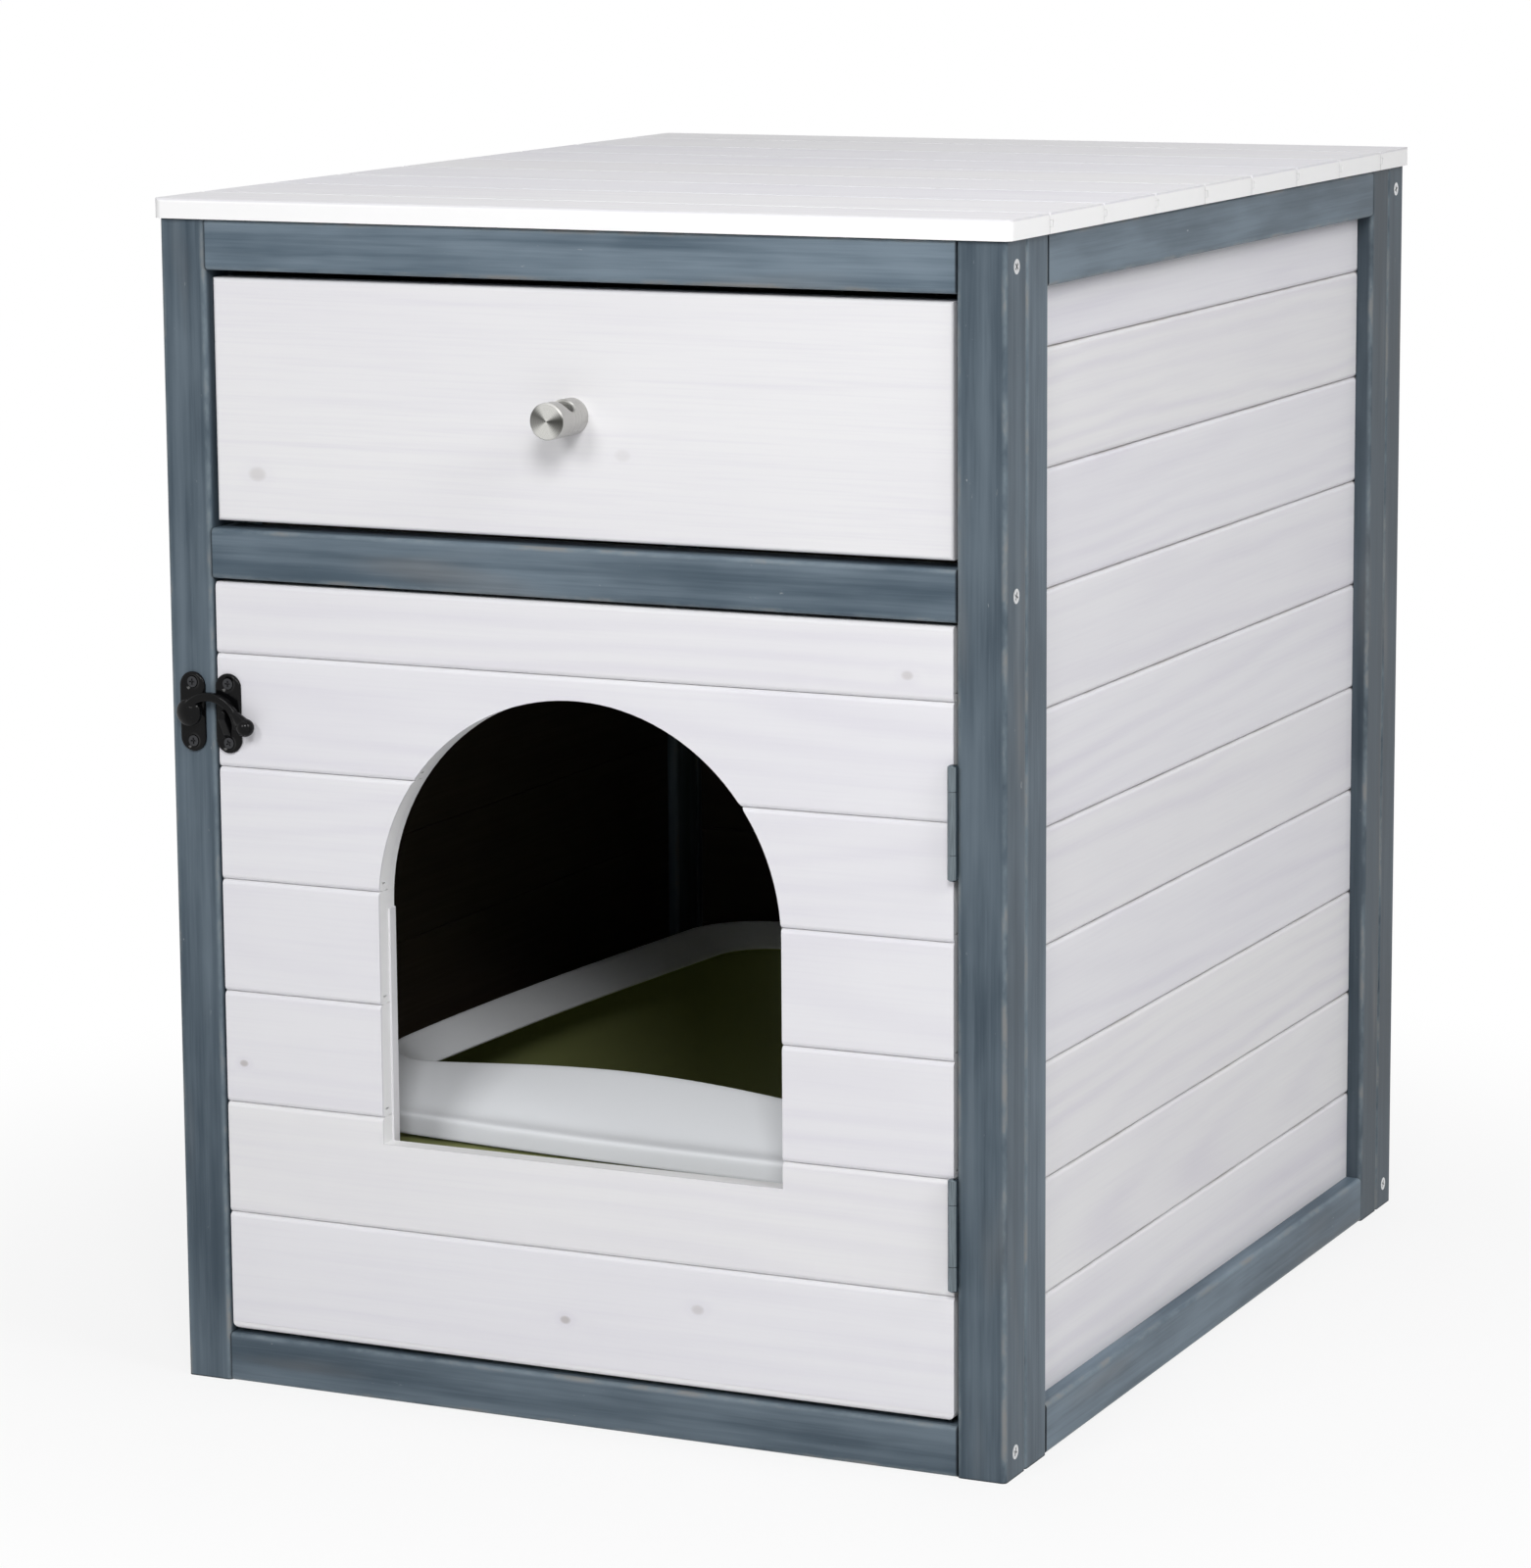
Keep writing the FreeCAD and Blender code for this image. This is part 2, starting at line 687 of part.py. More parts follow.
def crescent_bar():
    """Return the curved bar of the latch arm, which runs from its boss to its ball."""
    front_y = arm_back_y - arm_thickness
    eased_y = front_y + arm_ease
    corner = arm_ease * (1 - math.sqrt(0.5))
    inner = arm_inner_radius
    outer = arm_outer_radius
    edges = [
        Part.LineSegment(Vector(inner, arm_back_y, 0), Vector(outer, arm_back_y, 0)),
        Part.LineSegment(Vector(outer, arm_back_y, 0), Vector(outer, eased_y, 0)),
        Part.Arc(Vector(outer, eased_y, 0), Vector(outer - corner, front_y + corner, 0),
                 Vector(outer - arm_ease, front_y, 0)),
        Part.LineSegment(Vector(outer - arm_ease, front_y, 0), Vector(inner + arm_ease, front_y, 0)),
        Part.Arc(Vector(inner + arm_ease, front_y, 0), Vector(inner + corner, front_y + corner, 0),
                 Vector(inner, eased_y, 0)),
        Part.LineSegment(Vector(inner, eased_y, 0), Vector(inner, arm_back_y, 0)),
    ]
    section = Part.Face(Part.Wire([edge.toShape() for edge in edges]))
    section.rotate(Vector(0, 0, 0), -Y_AXIS, arm_end_angle)
    bar = section.revolve(Vector(0, 0, 0), -Y_AXIS, arm_start_angle - arm_end_angle)
    bar.translate(Vector(from_left(arm_centre_x), 0, arm_centre_z))
    return bar


def domed_boss(x_middle, z_middle, back_y, radius, height):
    """Return a round boss whose front is a low dome."""
    wall = height * boss_wall_share
    edges = [
        Part.LineSegment(Vector(0, 0, 0), Vector(radius, 0, 0)),
        Part.LineSegment(Vector(radius, 0, 0), Vector(radius, 0, wall)),
        dome_arc(radius, wall, height - wall),
        Part.LineSegment(Vector(0, 0, height), Vector(0, 0, 0)),
    ]
    outline = Part.Face(Part.Wire([edge.toShape() for edge in edges]))
    boss = outline.revolve(Vector(0, 0, 0), Z_AXIS, 360)
    place = Vector(x_middle, back_y, z_middle)
    boss.Placement = FreeCAD.Placement(place, FreeCAD.Rotation(Z_AXIS, -Y_AXIS))
    return boss


def latch_plate(pivot_x, screws):
    """Return the plate on the stile, with the round seat that the arm's boss turns on."""
    plate_front = -latch_plate_thickness
    seat = Part.makeCone(boss_radius, boss_radius - seat_taper, plate_front - arm_back_y,
                         Vector(pivot_x, plate_front, latch_height), -Y_AXIS)
    pin_hole = Part.makeCylinder(pivot_pin_radius + pivot_pin_clearance, -arm_back_y + spare,
                                 Vector(pivot_x, spare, latch_height), -Y_AXIS)
    pocket_radius = pivot_head_radius + pivot_pocket_clearance
    pocket_depth = pivot_head_sunk + pivot_head_thickness + pivot_pocket_clearance
    pocket = Part.makeCylinder(pocket_radius, pocket_depth, Vector(pivot_x, 0, latch_height),
                               -Y_AXIS)
    plate = latch_plate_blank(pivot_x, 0.0).fuse(seat)
    return cut_all(plate, screws + [pin_hole, pocket])


def latch_pin(pivot_x):
    """Return the pin that the arm is riveted to, with its head behind the plate."""
    back = Vector(pivot_x, -pivot_head_sunk, latch_height)
    reach = -arm_back_y - pivot_head_sunk + boss_height / 2
    pin = Part.makeCylinder(pivot_pin_radius, reach, back, -Y_AXIS)
    head = Part.makeCylinder(pivot_head_radius, pivot_head_thickness, back, -Y_AXIS)
    return pin.fuse(head).removeSplitter()


def latch():
    """Return the plate on the stile, its arm and pin, the catch on the door and the screws."""
    pivot_x = from_left(latch_pivot_x)
    stile_screws = plate_screws(pivot_x, 0.0)
    pin = latch_pin(pivot_x)
    boss = domed_boss(pivot_x, latch_height, arm_back_y, boss_radius, boss_height)
    ball = Part.makeSphere(ball_radius, Vector(from_left(ball_x), ball_y, ball_z))
    arm = boss.fuse([crescent_bar(), ball]).cut(pin)

    catch_middle = from_left(catch_x)
    door_screws = plate_screws(catch_middle, door_face_y)
    catch = latch_plate_blank(catch_middle, door_face_y).fuse(catch_fin(catch_middle))
    return {
        "latch_plate": latch_plate(pivot_x, stile_screws),
        "latch_arm": arm.removeSplitter(),
        "latch_pin": pin,
        "latch_catch": cut_all(catch, door_screws).removeSplitter(),
        "latch_plate_screws": stile_screws,
        "latch_catch_screws": door_screws,
    }


def catch_fin(x_middle):
    """Return the raised fin that the crescent drops over: a ramp with a rounded head."""
    half = fin_half_width
    head_z = latch_height + fin_middle_rise
    toe_z = head_z - fin_ramp_length
    plate_y = door_face_y - latch_plate_thickness / 2
    tip_y = arm_back_y - arm_thickness - fin_stand_out
    profile = [
        Vector(0, plate_y, head_z + half),
        Vector(0, tip_y, head_z + half),
        Vector(0, tip_y, head_z - half),
        Vector(0, plate_y - fin_toe, toe_z),
        Vector(0, plate_y, toe_z),
    ]
    ramp = polygon_face(profile).extrude(Vector(2 * half, 0, 0))
    ramp.translate(Vector(x_middle - half, 0, 0))
    column = Part.makeCylinder(half, plate_y - tip_y, Vector(x_middle, plate_y, head_z), -Y_AXIS)
    below = box(x_middle - half, x_middle + half, tip_y, plate_y, toe_z - spare, head_z)
    return ramp.common(column.fuse(below))


# ---- Drawer ------------------------------------------------------------------------------


def drawer():
    """Return the drawer's front, sides, back, bottom, knob and knob screw."""
    front_low = middle_rail_top + drawer_gap_height
    front_high = top_rail_bottom - drawer_gap_height
    reach = opening - drawer_gap_side
    back_face = drawer_recess + drawer_front_thickness
    front = box(-reach, reach, drawer_recess, back_face, front_low, front_high)
    front = front.makeFillet(drawer_ease, [edge for edge in front.Edges
                                           if abs(edge.CenterOfMass.y - drawer_recess) < near])
    end_y = drawer_recess + drawer_length
    outer = opening - drawer_side_inset
    inner = outer - drawer_side_thickness
    side_high = front_low + drawer_side_height
    side = box(inner, outer, back_face, end_y, front_low, side_high)
    groove_half = runner_height / 2 + runner_slack
    runner_groove = box(outer - runner_groove_depth, outer, back_face, end_y,
                        runner_middle_z - groove_half, runner_middle_z + groove_half)
    bottom_low = front_low + drawer_bottom_lift
    bottom = box(-inner - drawer_bottom_housing, inner + drawer_bottom_housing,
                 back_face - drawer_bottom_housing, end_y - drawer_side_thickness
                 + drawer_bottom_housing, bottom_low, bottom_low + drawer_bottom_thickness)
    side = side.cut(runner_groove).cut(bottom)
    back = box(-inner, inner, end_y - drawer_side_thickness, end_y, front_low, side_high)
    screw = pan_screw(Vector(0, back_face, knob_height), drawer_front_thickness + knob_screw_bite)
    return {
        "drawer_front": front.cut(bottom).cut(screw),
        "drawer_right_side": side,
        "drawer_left_side": mirrored(side),
        "drawer_back": back.cut(bottom),
        "drawer_bottom": bottom,
        "drawer_knob": knob().cut(screw),
        "knob_screw": screw,
    }


def pan_screw(seat, reach):
    """Return a round-headed screw that runs forwards from the inside of the drawer front."""
    shank = Part.makeCylinder(screw_shank_radius, reach, seat, -Y_AXIS)
    head = Part.makeCylinder(screw_head_radius, pan_head_thickness, seat, Y_AXIS)
    top_y = seat.y + pan_head_thickness
    head = head.makeFillet(pan_head_thickness / 2, [edge for edge in head.Edges
                                                    if abs(edge.CenterOfMass.y - top_y) < near])
    return shank.fuse(head).removeSplitter()


def knob():
    """Return the turned knob: a plain cylinder with a scoop across its top for a fingertip."""
    body = Part.makeCylinder(knob_radius, knob_length, Vector(0, drawer_recess, knob_height),
                             -Y_AXIS)
    body = body.makeChamfer(knob_chamfer, [edge for edge in body.Edges
                                           if abs(edge.CenterOfMass.y - knob_tip_y) < near])
    reach = knob_radius + spare
    scoop_start = Vector(-reach, knob_tip_y + scoop_from_face, knob_height + scoop_rise)
    return body.cut(Part.makeCylinder(scoop_radius, 2 * reach, scoop_start, X_AXIS))


def runner():
    """Return the right drawer runner, a strip across the posts, and its screws."""
    low = runner_middle_z - runner_height / 2
    front_y = drawer_recess + drawer_front_thickness + runner_front_gap
    strip = box(opening - runner_thickness, opening, front_y, inner_back,
                low, low + runner_height)
    strip = strip.makeFillet(runner_ease, [edge for edge in long_edges(strip, Y_AXIS)
                                           if edge.CenterOfMass.x < opening - near])
    screws = []
    for y_screw in (timber + post_depth / 2, inner_back - post_depth / 2):
        head = Vector(opening - runner_thickness, y_screw, runner_middle_z)
        screws.append(countersunk_screw(head, X_AXIS, screw_shank_radius, runner_screw_head,
                                        runner_screw_length))
    return strip, screws


# ---- Tray --------------------------------------------------------------------------------


def tray_outline(half_x, half_y, corner, end_bow, z):
    """Return a closed outline of four gently bowed sides and four round corners at height z."""
    x_flat = half_x - corner
    y_flat = half_y - corner
    x_corner = half_x - corner * (1 - math.sqrt(0.5))
    y_corner = half_y - corner * (1 - math.sqrt(0.5))
    arcs = []
    for turn in (1, -1):
        end_start = Vector(-turn * x_flat, -turn * half_y, z)
        end_middle = Vector(0, -turn * (half_y + end_bow), z)
        end_stop = Vector(turn * x_flat, -turn * half_y, z)
        near_corner = Vector(turn * x_corner, -turn * y_corner, z)
        side_start = Vector(turn * half_x, -turn * y_flat, z)
        side_middle = Vector(turn * (half_x + tray_side_bow), 0, z)
        side_stop = Vector(turn * half_x, turn * y_flat, z)
        far_corner = Vector(turn * x_corner, turn * y_corner, z)
        arcs.append(Part.Arc(end_start, end_middle, end_stop))
        arcs.append(Part.Arc(end_stop, near_corner, side_start))
        arcs.append(Part.Arc(side_start, side_middle, side_stop))
        arcs.append(Part.Arc(side_stop, far_corner, Vector(turn * x_flat, turn * half_y, z)))
    return Part.Wire([arc.toShape() for arc in arcs])


def tray_section(side_inset, end_inset, end_bow, z):
    """Return the outline of the tray drawn in by two insets from the skirt of its rim."""
    corner = tray_corner_round - (side_inset + end_inset) / 2
    return tray_outline(tray_half_width - side_inset, tray_half_length - end_inset, corner,
                        end_bow, z)


def tray_loft(rows, drawn_in=0.0, dropped=0.0):
    """Return a solid through outlines given as (side inset, end inset, end bow, height)."""
    outlines = [tray_section(side + drawn_in, end + drawn_in, bow, height - dropped)
                for side, end, bow, height in rows]
    return Part.makeLoft(outlines, True, True)


def tray_base():
    """Return the open tray: sloping walls, a flat bottom and a flange for the rim."""
    flange = rim_wall + tray_rim_clearance
    mouth = flange + tray_flange_width
    foot = mouth + tray_floor_taper
    knee = foot - tray_knee_width
    knee_height = bottom_rail_top + tray_knee_height
    top_row = (mouth, mouth, mouth_bow, tray_flange_top)
    outer = tray_loft([(foot, foot, foot_bow, bottom_rail_top),
                       (knee, knee, foot_bow, knee_height), top_row])
    inner = tray_loft([(foot, foot, foot_bow, bottom_rail_top + tray_wall),
                       (knee, knee, foot_bow, knee_height + tray_wall), top_row], tray_wall)
    ring = tray_loft([(flange, flange, skirt_bow, tray_flange_top - tray_wall),
                      (flange, flange, skirt_bow, tray_flange_top)])
    return outer.fuse(ring).cut(inner).removeSplitter()


def rim_slope(ledge):
    """Return the rows of the broad slope, which curves up a quarter ellipse from the ledge."""
    rows = []
    for step in range(rim_slope_steps + 1):
        angle = math.pi / 2 * step / rim_slope_steps
        inwards = 1 - math.cos(angle)
        rows.append((rim_ledge_side + (rim_crest_side - rim_ledge_side) * inwards,
                     rim_ledge_end + (rim_crest_end - rim_ledge_end) * inwards,
                     foot_bow + (crest_bow - foot_bow) * inwards,
                     ledge + rim_ledge_rise + (rim_crest - ledge - rim_ledge_rise) * math.sin(angle)))
    return rows


def tray_rim():
    """Return the clip-on rim: a skirt, a ledge, a broad slope up to a crest and a lip inside."""
    ledge = tray_flange_top + rim_wall
    slope = rim_slope(ledge)
    skirt = [
        (0.0, 0.0, skirt_bow, rim_bottom),
        (rim_skirt_lean, rim_skirt_lean, skirt_bow, ledge - rim_shoulder),
        (rim_shoulder, rim_shoulder, skirt_bow, ledge),
    ]
    outer = tray_loft(skirt + slope)
    hollow_below = tray_loft([(0.0, 0.0, skirt_bow, rim_bottom - spare),
                              (0.0, 0.0, skirt_bow, tray_flange_top)], rim_wall)
    hollow_start = slope[0][:3] + (ledge,)
    hollow_above = tray_loft([hollow_start] + slope, rim_wall, rim_wall)
    lip_low = (rim_lip_side, rim_lip_end, crest_bow, rim_lip_bottom)
    lip_high = (rim_crest_side + rim_crest_width, rim_crest_end + rim_crest_width, crest_bow,
                rim_crest)
    lip_body = tray_loft([lip_low, lip_high], -rim_wall).common(outer)
    mouth = tray_loft([lip_low[:3] + (rim_lip_bottom - 2 * spare,), lip_low, lip_high,
                       lip_high[:3] + (rim_crest + spare,)])
    shell = outer.cut(hollow_below).cut(hollow_above)
    return shell.fuse(lip_body).cut(mouth).removeSplitter()


def tray():
    """Return the tray and its rim, turned a little as they stand in the cabinet."""
    pieces = {"tray_base": tray_base(), "tray_rim": tray_rim()}
    place = FreeCAD.Placement(tray_middle, FreeCAD.Rotation(Z_AXIS, tray_turn))
    for shape in pieces.values():
        shape.Placement = place
    return pieces


# ---- Assembly ----------------------------------------------------------------------------

door_board_nodes = ("door_boards", "door_sill_board", "door_crown_board")


def assemble():
    """Return every node of the cabinet by name."""
    screws = frame_screw_list()
    nodes = {}
    nodes.update(front_frame(screws))
    nodes.update(back_frame(screws))
    nodes.update(side_frame("left"))
    nodes.update(side_frame("right"))
    nodes.update(top_panel())
    nodes["floor_panel"] = floor_space()
    nodes["frame_screws"] = Part.Compound(screws)
    nodes.update(tray())
    nodes.update(drawer())
    add_runners(nodes)
    add_door(nodes)
    add_latch(nodes)
    return nodes


def add_runners(nodes):
    """Add the drawer runners, and drill the posts for their screws."""
    strip, screws = runner()
    strip = cut_all(strip, screws)
    nodes["right_drawer_runner"] = strip
    nodes["left_drawer_runner"] = mirrored(strip)
    left_screws = [mirrored(screw) for screw in screws]
    for post in ("front_post", "rear_post"):
        nodes["right_" + post] = cut_all(nodes["right_" + post], screws)
        nodes["left_" + post] = cut_all(nodes["left_" + post], left_screws)
    nodes["runner_screws"] = Part.Compound(screws + left_screws)


def add_door(nodes):
    """Add the door, its stop and its hinges, and drill the timber for the hinge screws."""
    nodes.update(door_leaf())
    stop_y = door_back_y + backing_thickness + door_stop_gap
    stop_low = latch_height - door_stop_length / 2
    nodes["door_stop"] = box(-opening, -opening + door_stop_side, stop_y, stop_y + door_stop_side,
                             stop_low, stop_low + door_stop_length)
    frame_screws = []
    door_screws = []
    for name, z_middle in hinge_heights.items():
        parts = hinge(z_middle)
        nodes[name + "_hinge_frame_leaf"] = parts["frame_leaf"]
        nodes[name + "_hinge_door_leaf"] = parts["door_leaf"]
        nodes[name + "_hinge_pin"] = parts["pin"]
        frame_screws += parts["frame_screws"]
        door_screws += parts["door_screws"]
    nodes["front_right_stile"] = cut_all(nodes["front_right_stile"], frame_screws)
    for name in door_board_nodes:
        nodes[name] = cut_all(nodes[name], door_screws)
    nodes["hinge_frame_screws"] = Part.Compound(frame_screws)
    nodes["hinge_door_screws"] = Part.Compound(door_screws)


def add_latch(nodes):
    """Add the latch, and drill the stile and the door for its screws."""
    parts = latch()
    nodes["front_left_stile"] = cut_all(nodes["front_left_stile"], parts["latch_plate_screws"])
    for name in door_board_nodes:
        nodes[name] = cut_all(nodes[name], parts["latch_catch_screws"])
    for name in ("latch_plate_screws", "latch_catch_screws"):
        parts[name] = Part.Compound(parts[name])
    nodes.update(parts)


def move_to_origin(shape):
    """Return a shape moved so that the origin is the middle of the footprint."""
    moved = shape.copy()
    moved.translate(Vector(0, -depth_middle, 0))
    return moved


def main():
    """Build the cabinet and write one STEP file for each node."""
    os.makedirs("parts", exist_ok=True)
    for name, shape in assemble().items():
        moved = move_to_origin(shape)
        solids = moved.Solids
        if not solids or not moved.isValid():
            print("CHECK", name, len(solids))
        moved.exportStep(os.path.join("parts", name + ".step"))
        print(name, len(solids), round(sum(solid.Volume for solid in solids)))


main()
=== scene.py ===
"""Dress the litter box cabinet.

It has a stained frame, whitewashed boards, metal fittings, a tray with its rim, and a studio.
Everything is in metres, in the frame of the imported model: +X right, +Y back, +Z up, with the
floor at z = 0. The camera stands where the photograph was taken from.
"""
import logging
import math
from collections.abc import Callable
from dataclasses import dataclass, field
from enum import Enum

import bmesh
import bpy
from mathutils import Matrix, Vector


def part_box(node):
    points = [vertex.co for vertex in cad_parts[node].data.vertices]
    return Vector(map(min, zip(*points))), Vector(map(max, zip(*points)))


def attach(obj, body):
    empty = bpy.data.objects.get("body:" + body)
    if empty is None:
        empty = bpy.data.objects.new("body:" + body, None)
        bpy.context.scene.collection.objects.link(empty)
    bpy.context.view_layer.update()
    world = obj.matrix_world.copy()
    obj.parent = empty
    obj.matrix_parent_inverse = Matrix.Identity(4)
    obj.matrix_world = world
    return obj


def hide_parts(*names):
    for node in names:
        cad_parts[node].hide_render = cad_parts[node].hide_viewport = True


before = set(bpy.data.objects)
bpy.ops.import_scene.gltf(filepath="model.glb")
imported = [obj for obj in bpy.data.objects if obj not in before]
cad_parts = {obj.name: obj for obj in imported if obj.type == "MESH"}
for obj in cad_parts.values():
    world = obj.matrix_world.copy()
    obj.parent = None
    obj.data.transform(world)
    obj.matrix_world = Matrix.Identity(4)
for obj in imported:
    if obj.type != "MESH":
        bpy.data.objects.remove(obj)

LOG = logging.getLogger("cabinet")
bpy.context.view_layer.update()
MM = 0.001

Colour = tuple[float, float, float]
Place = tuple[float, float, float]


class Axis(Enum):
    """A direction of the cabinet, by its place in a vector."""

    X = 0
    Y = 1
    Z = 2


# ---- Shader maths -------------------------------------------------------------------------


@dataclass(frozen=True)
class Waves:
    """Noise stretched along the wood.

    Attributes:
        along: Waves to the metre along the wood.
        across: Waves to the metre across it and through it.
        detail: Octaves of finer noise.
        roughness: Strength of the finer octaves.
    """

    along: float
    across: float
    detail: float
    roughness: float = 0.5


def joined_by(operation: str, swapped: bool = False) -> Callable[["Value", object], "Value"]:
    """Return a method that joins a value to another one with a Math node.

    Args:
        operation: The Math node's operation.
        swapped: Whether the other value comes first.

    Returns:
        The method.
    """
    def method(self: "Value", other: object) -> "Value":
        """Return the node's result."""
        pair = (other, self) if swapped else (self, other)
        return self.graph.math(operation, *pair)

    return method


class Value:
    """A shader socket or number that takes part in Python arithmetic."""

    def __init__(self, graph: "Graph", source: object) -> None:
        """Hold an output socket or a number of a graph, for use in expressions."""
        self.graph = graph
        self.source = source

    __add__ = __radd__ = joined_by("ADD")
    __sub__ = joined_by("SUBTRACT")
    __rsub__ = joined_by("SUBTRACT", swapped=True)
    __mul__ = __rmul__ = joined_by("MULTIPLY")
    __truediv__ = joined_by("DIVIDE")
    __pow__ = joined_by("POWER")
    least = joined_by("MINIMUM")
    most = joined_by("MAXIMUM")

    def __abs__(self) -> "Value":
        """Return the size of self."""
        return self.graph.math("ABSOLUTE", self)

    def floor(self) -> "Value":
        """Return self rounded down."""
        return self.graph.math("FLOOR", self)

    def ramp(self, low: object, high: object, start: float = 0.0, end: float = 1.0) -> "Value":
        """Return self mapped smoothly from low..high to start..end, and held beyond them.

        Args:
            low: The value that gives start.
            high: The value that gives end.
            start: The result at low.
            end: The result at high.

        Returns:
            The mapped value.
        """
        outputs = self.graph.node("ShaderNodeMapRange", {"interpolation_type": "SMOOTHSTEP"},
                                  {0: self, 1: low, 2: high, 3: start, 4: end})
        return Value(self.graph, outputs[0])


class NodeBench:
    """Any node tree, with one short way to add a node to it."""

    def __init__(self, tree: bpy.types.NodeTree) -> None:
        """Work on the tree that nodes are added to."""
        self.tree = tree

    def node(self, kind: str, settings: dict[str, object], inputs: dict[object, object]) -> list:
        """Add any node.

        Args:
            kind: The node's type.
            settings: Its properties, which are set first.
            inputs: Its sockets, by name or number, each with a value or a link.

        Returns:
            The node's output sockets.
        """
        made = self.tree.nodes.new(kind)
        for key, setting in settings.items():
            setattr(made, key, setting)
        for key, given in inputs.items():
            self.feed(made.inputs[key], given)
        return made.outputs

    def feed(self, socket: bpy.types.NodeSocket, given: object) -> None:
        """Set a socket to a value, or link it to an output.

        Args:
            socket: The socket.
            given: A number, a colour, a setting, an output socket or a Value.
        """
        given = given.source if isinstance(given, Value) else given
        if isinstance(given, bpy.types.NodeSocket):
            self.tree.links.new(given, socket)
        elif isinstance(given, tuple) and socket.type == "RGBA":
            socket.default_value = (*given, 1.0)
        else:
            socket.default_value = given


class Graph(NodeBench):
    """The node graph of one material, with short ways to write its patterns."""

    def __init__(self, name: str) -> None:
        """Start a material with one Principled BSDF.

        Args:
            name: The material's name.
        """
        self.material = bpy.data.materials.new(name)
        self.material.use_nodes = True
        super().__init__(self.material.node_tree)
        self.shader = self.tree.nodes["Principled BSDF"]
        self._place: list[Value] = []

    def math(self, operation: str, *values: object) -> Value:
        """Return a Math node's result."""
        inputs = dict(enumerate(values))
        return Value(self, self.node("ShaderNodeMath", {"operation": operation}, inputs)[0])

    def place(self, axis: Axis) -> Value:
        """Return one coordinate of the shaded point.

        Args:
            axis: Which one.

        Returns:
            The coordinate in metres.
        """
        if not self._place:
            spot = self.node("ShaderNodeTexCoord", {}, {})["Object"]
            parts = self.node("ShaderNodeSeparateXYZ", {}, {0: spot})
            self._place = [Value(self, part) for part in parts]
        return self._place[axis.value]

    def vector(self, x: object, y: object, z: object) -> object:
        """Return a vector socket made of three values."""
        return self.node("ShaderNodeCombineXYZ", {}, {0: x, 1: y, 2: z})[0]

    def spot(self) -> object:
        """Return the shaded point as one vector socket."""
        return self.vector(*[self.place(axis) for axis in Axis])

    def noise(self, where: object, scale: float, detail: float = 3.0,
              roughness: float = 0.5) -> Value:
        """Return smooth noise from 0 to 1.

        Args:
            where: The vector to read the noise at, or its three values.
            scale: Waves in one unit of the vector.
            detail: Octaves of finer noise.
            roughness: Strength of the finer octaves.

        Returns:
            The noise.
        """
        where = self.vector(*where) if isinstance(where, tuple) else where
        outputs = self.node("ShaderNodeTexNoise", {"noise_dimensions": "3D"},
                            {"Vector": where, "Scale": scale, "Detail": detail,
                             "Roughness": roughness})
        return Value(self, outputs[0])

    def wood(self, waves: Waves, along: Value, across: Value, depth: Value,
             shift: object) -> Value:
        """Return noise stretched along the wood, from 0 to 1.

        Args:
            waves: The noise's sizes.
            along: The place along the wood.
            across: The place across it.
            depth: The place through it.
            shift: What sets one piece of wood apart from the next.

        Returns:
            The noise.
        """
        where = (along * waves.along + shift, across * waves.across, depth * waves.across)
        return self.noise(where, 1.0, waves.detail, waves.roughness)

    def scatter(self, seed: Value) -> list[Value]:
        """Return three numbers from 0 to 1 that jump with a whole number.

        Args:
            seed: The whole number.

        Returns:
            The three numbers.
        """
        colour = self.node("ShaderNodeTexWhiteNoise", {"noise_dimensions": "1D"},
                           {"W": seed})["Color"]
        parts = self.node("ShaderNodeSeparateColor", {}, {0: colour})
        return [Value(self, part) for part in parts]

    def mix(self, factor: object, first: object, second: object, blend: str = "MIX") -> object:
        """Return the mix of two colours as a colour socket."""
        settings = {"data_type": "RGBA", "blend_type": blend, "clamp_factor": True}
        return self.node("ShaderNodeMix", settings, {0: factor, 6: first, 7: second})[2]

    def bump(self, height: Value, depth: float, strength: float = 1.0,
             below: object = None) -> object:
        """Return a normal that follows a height.

        Args:
            height: The height, from 0 to 1.
            depth: What a height of 1 stands for, in metres.
            strength: How much of the bump to show.
            below: The normal that it adds to, if any.

        Returns:
            The normal's socket.
        """
        inputs = {"Height": height, "Distance": depth, "Strength": strength}
        if below is not None:
            inputs["Normal"] = below
        return self.node("ShaderNodeBump", {}, inputs)[0]

    def finish(self, **sockets: object) -> bpy.types.Material:
        """Set the shader's sockets.

        Args:
            sockets: The value or link of each socket, its name written with _ for each space.

        Returns:
            The material.
        """
        for key, given in sockets.items():
            self.feed(self.shader.inputs[key.replace("_", " ")], given)
        return self.material


# ---- Finishes -----------------------------------------------------------------------------


@dataclass(frozen=True)
class Knot:
    """A small knot in a board: where it is, how wide, and how strongly it shows."""

    along: float
    across: float
    radius: float
    strength: float = 0.6


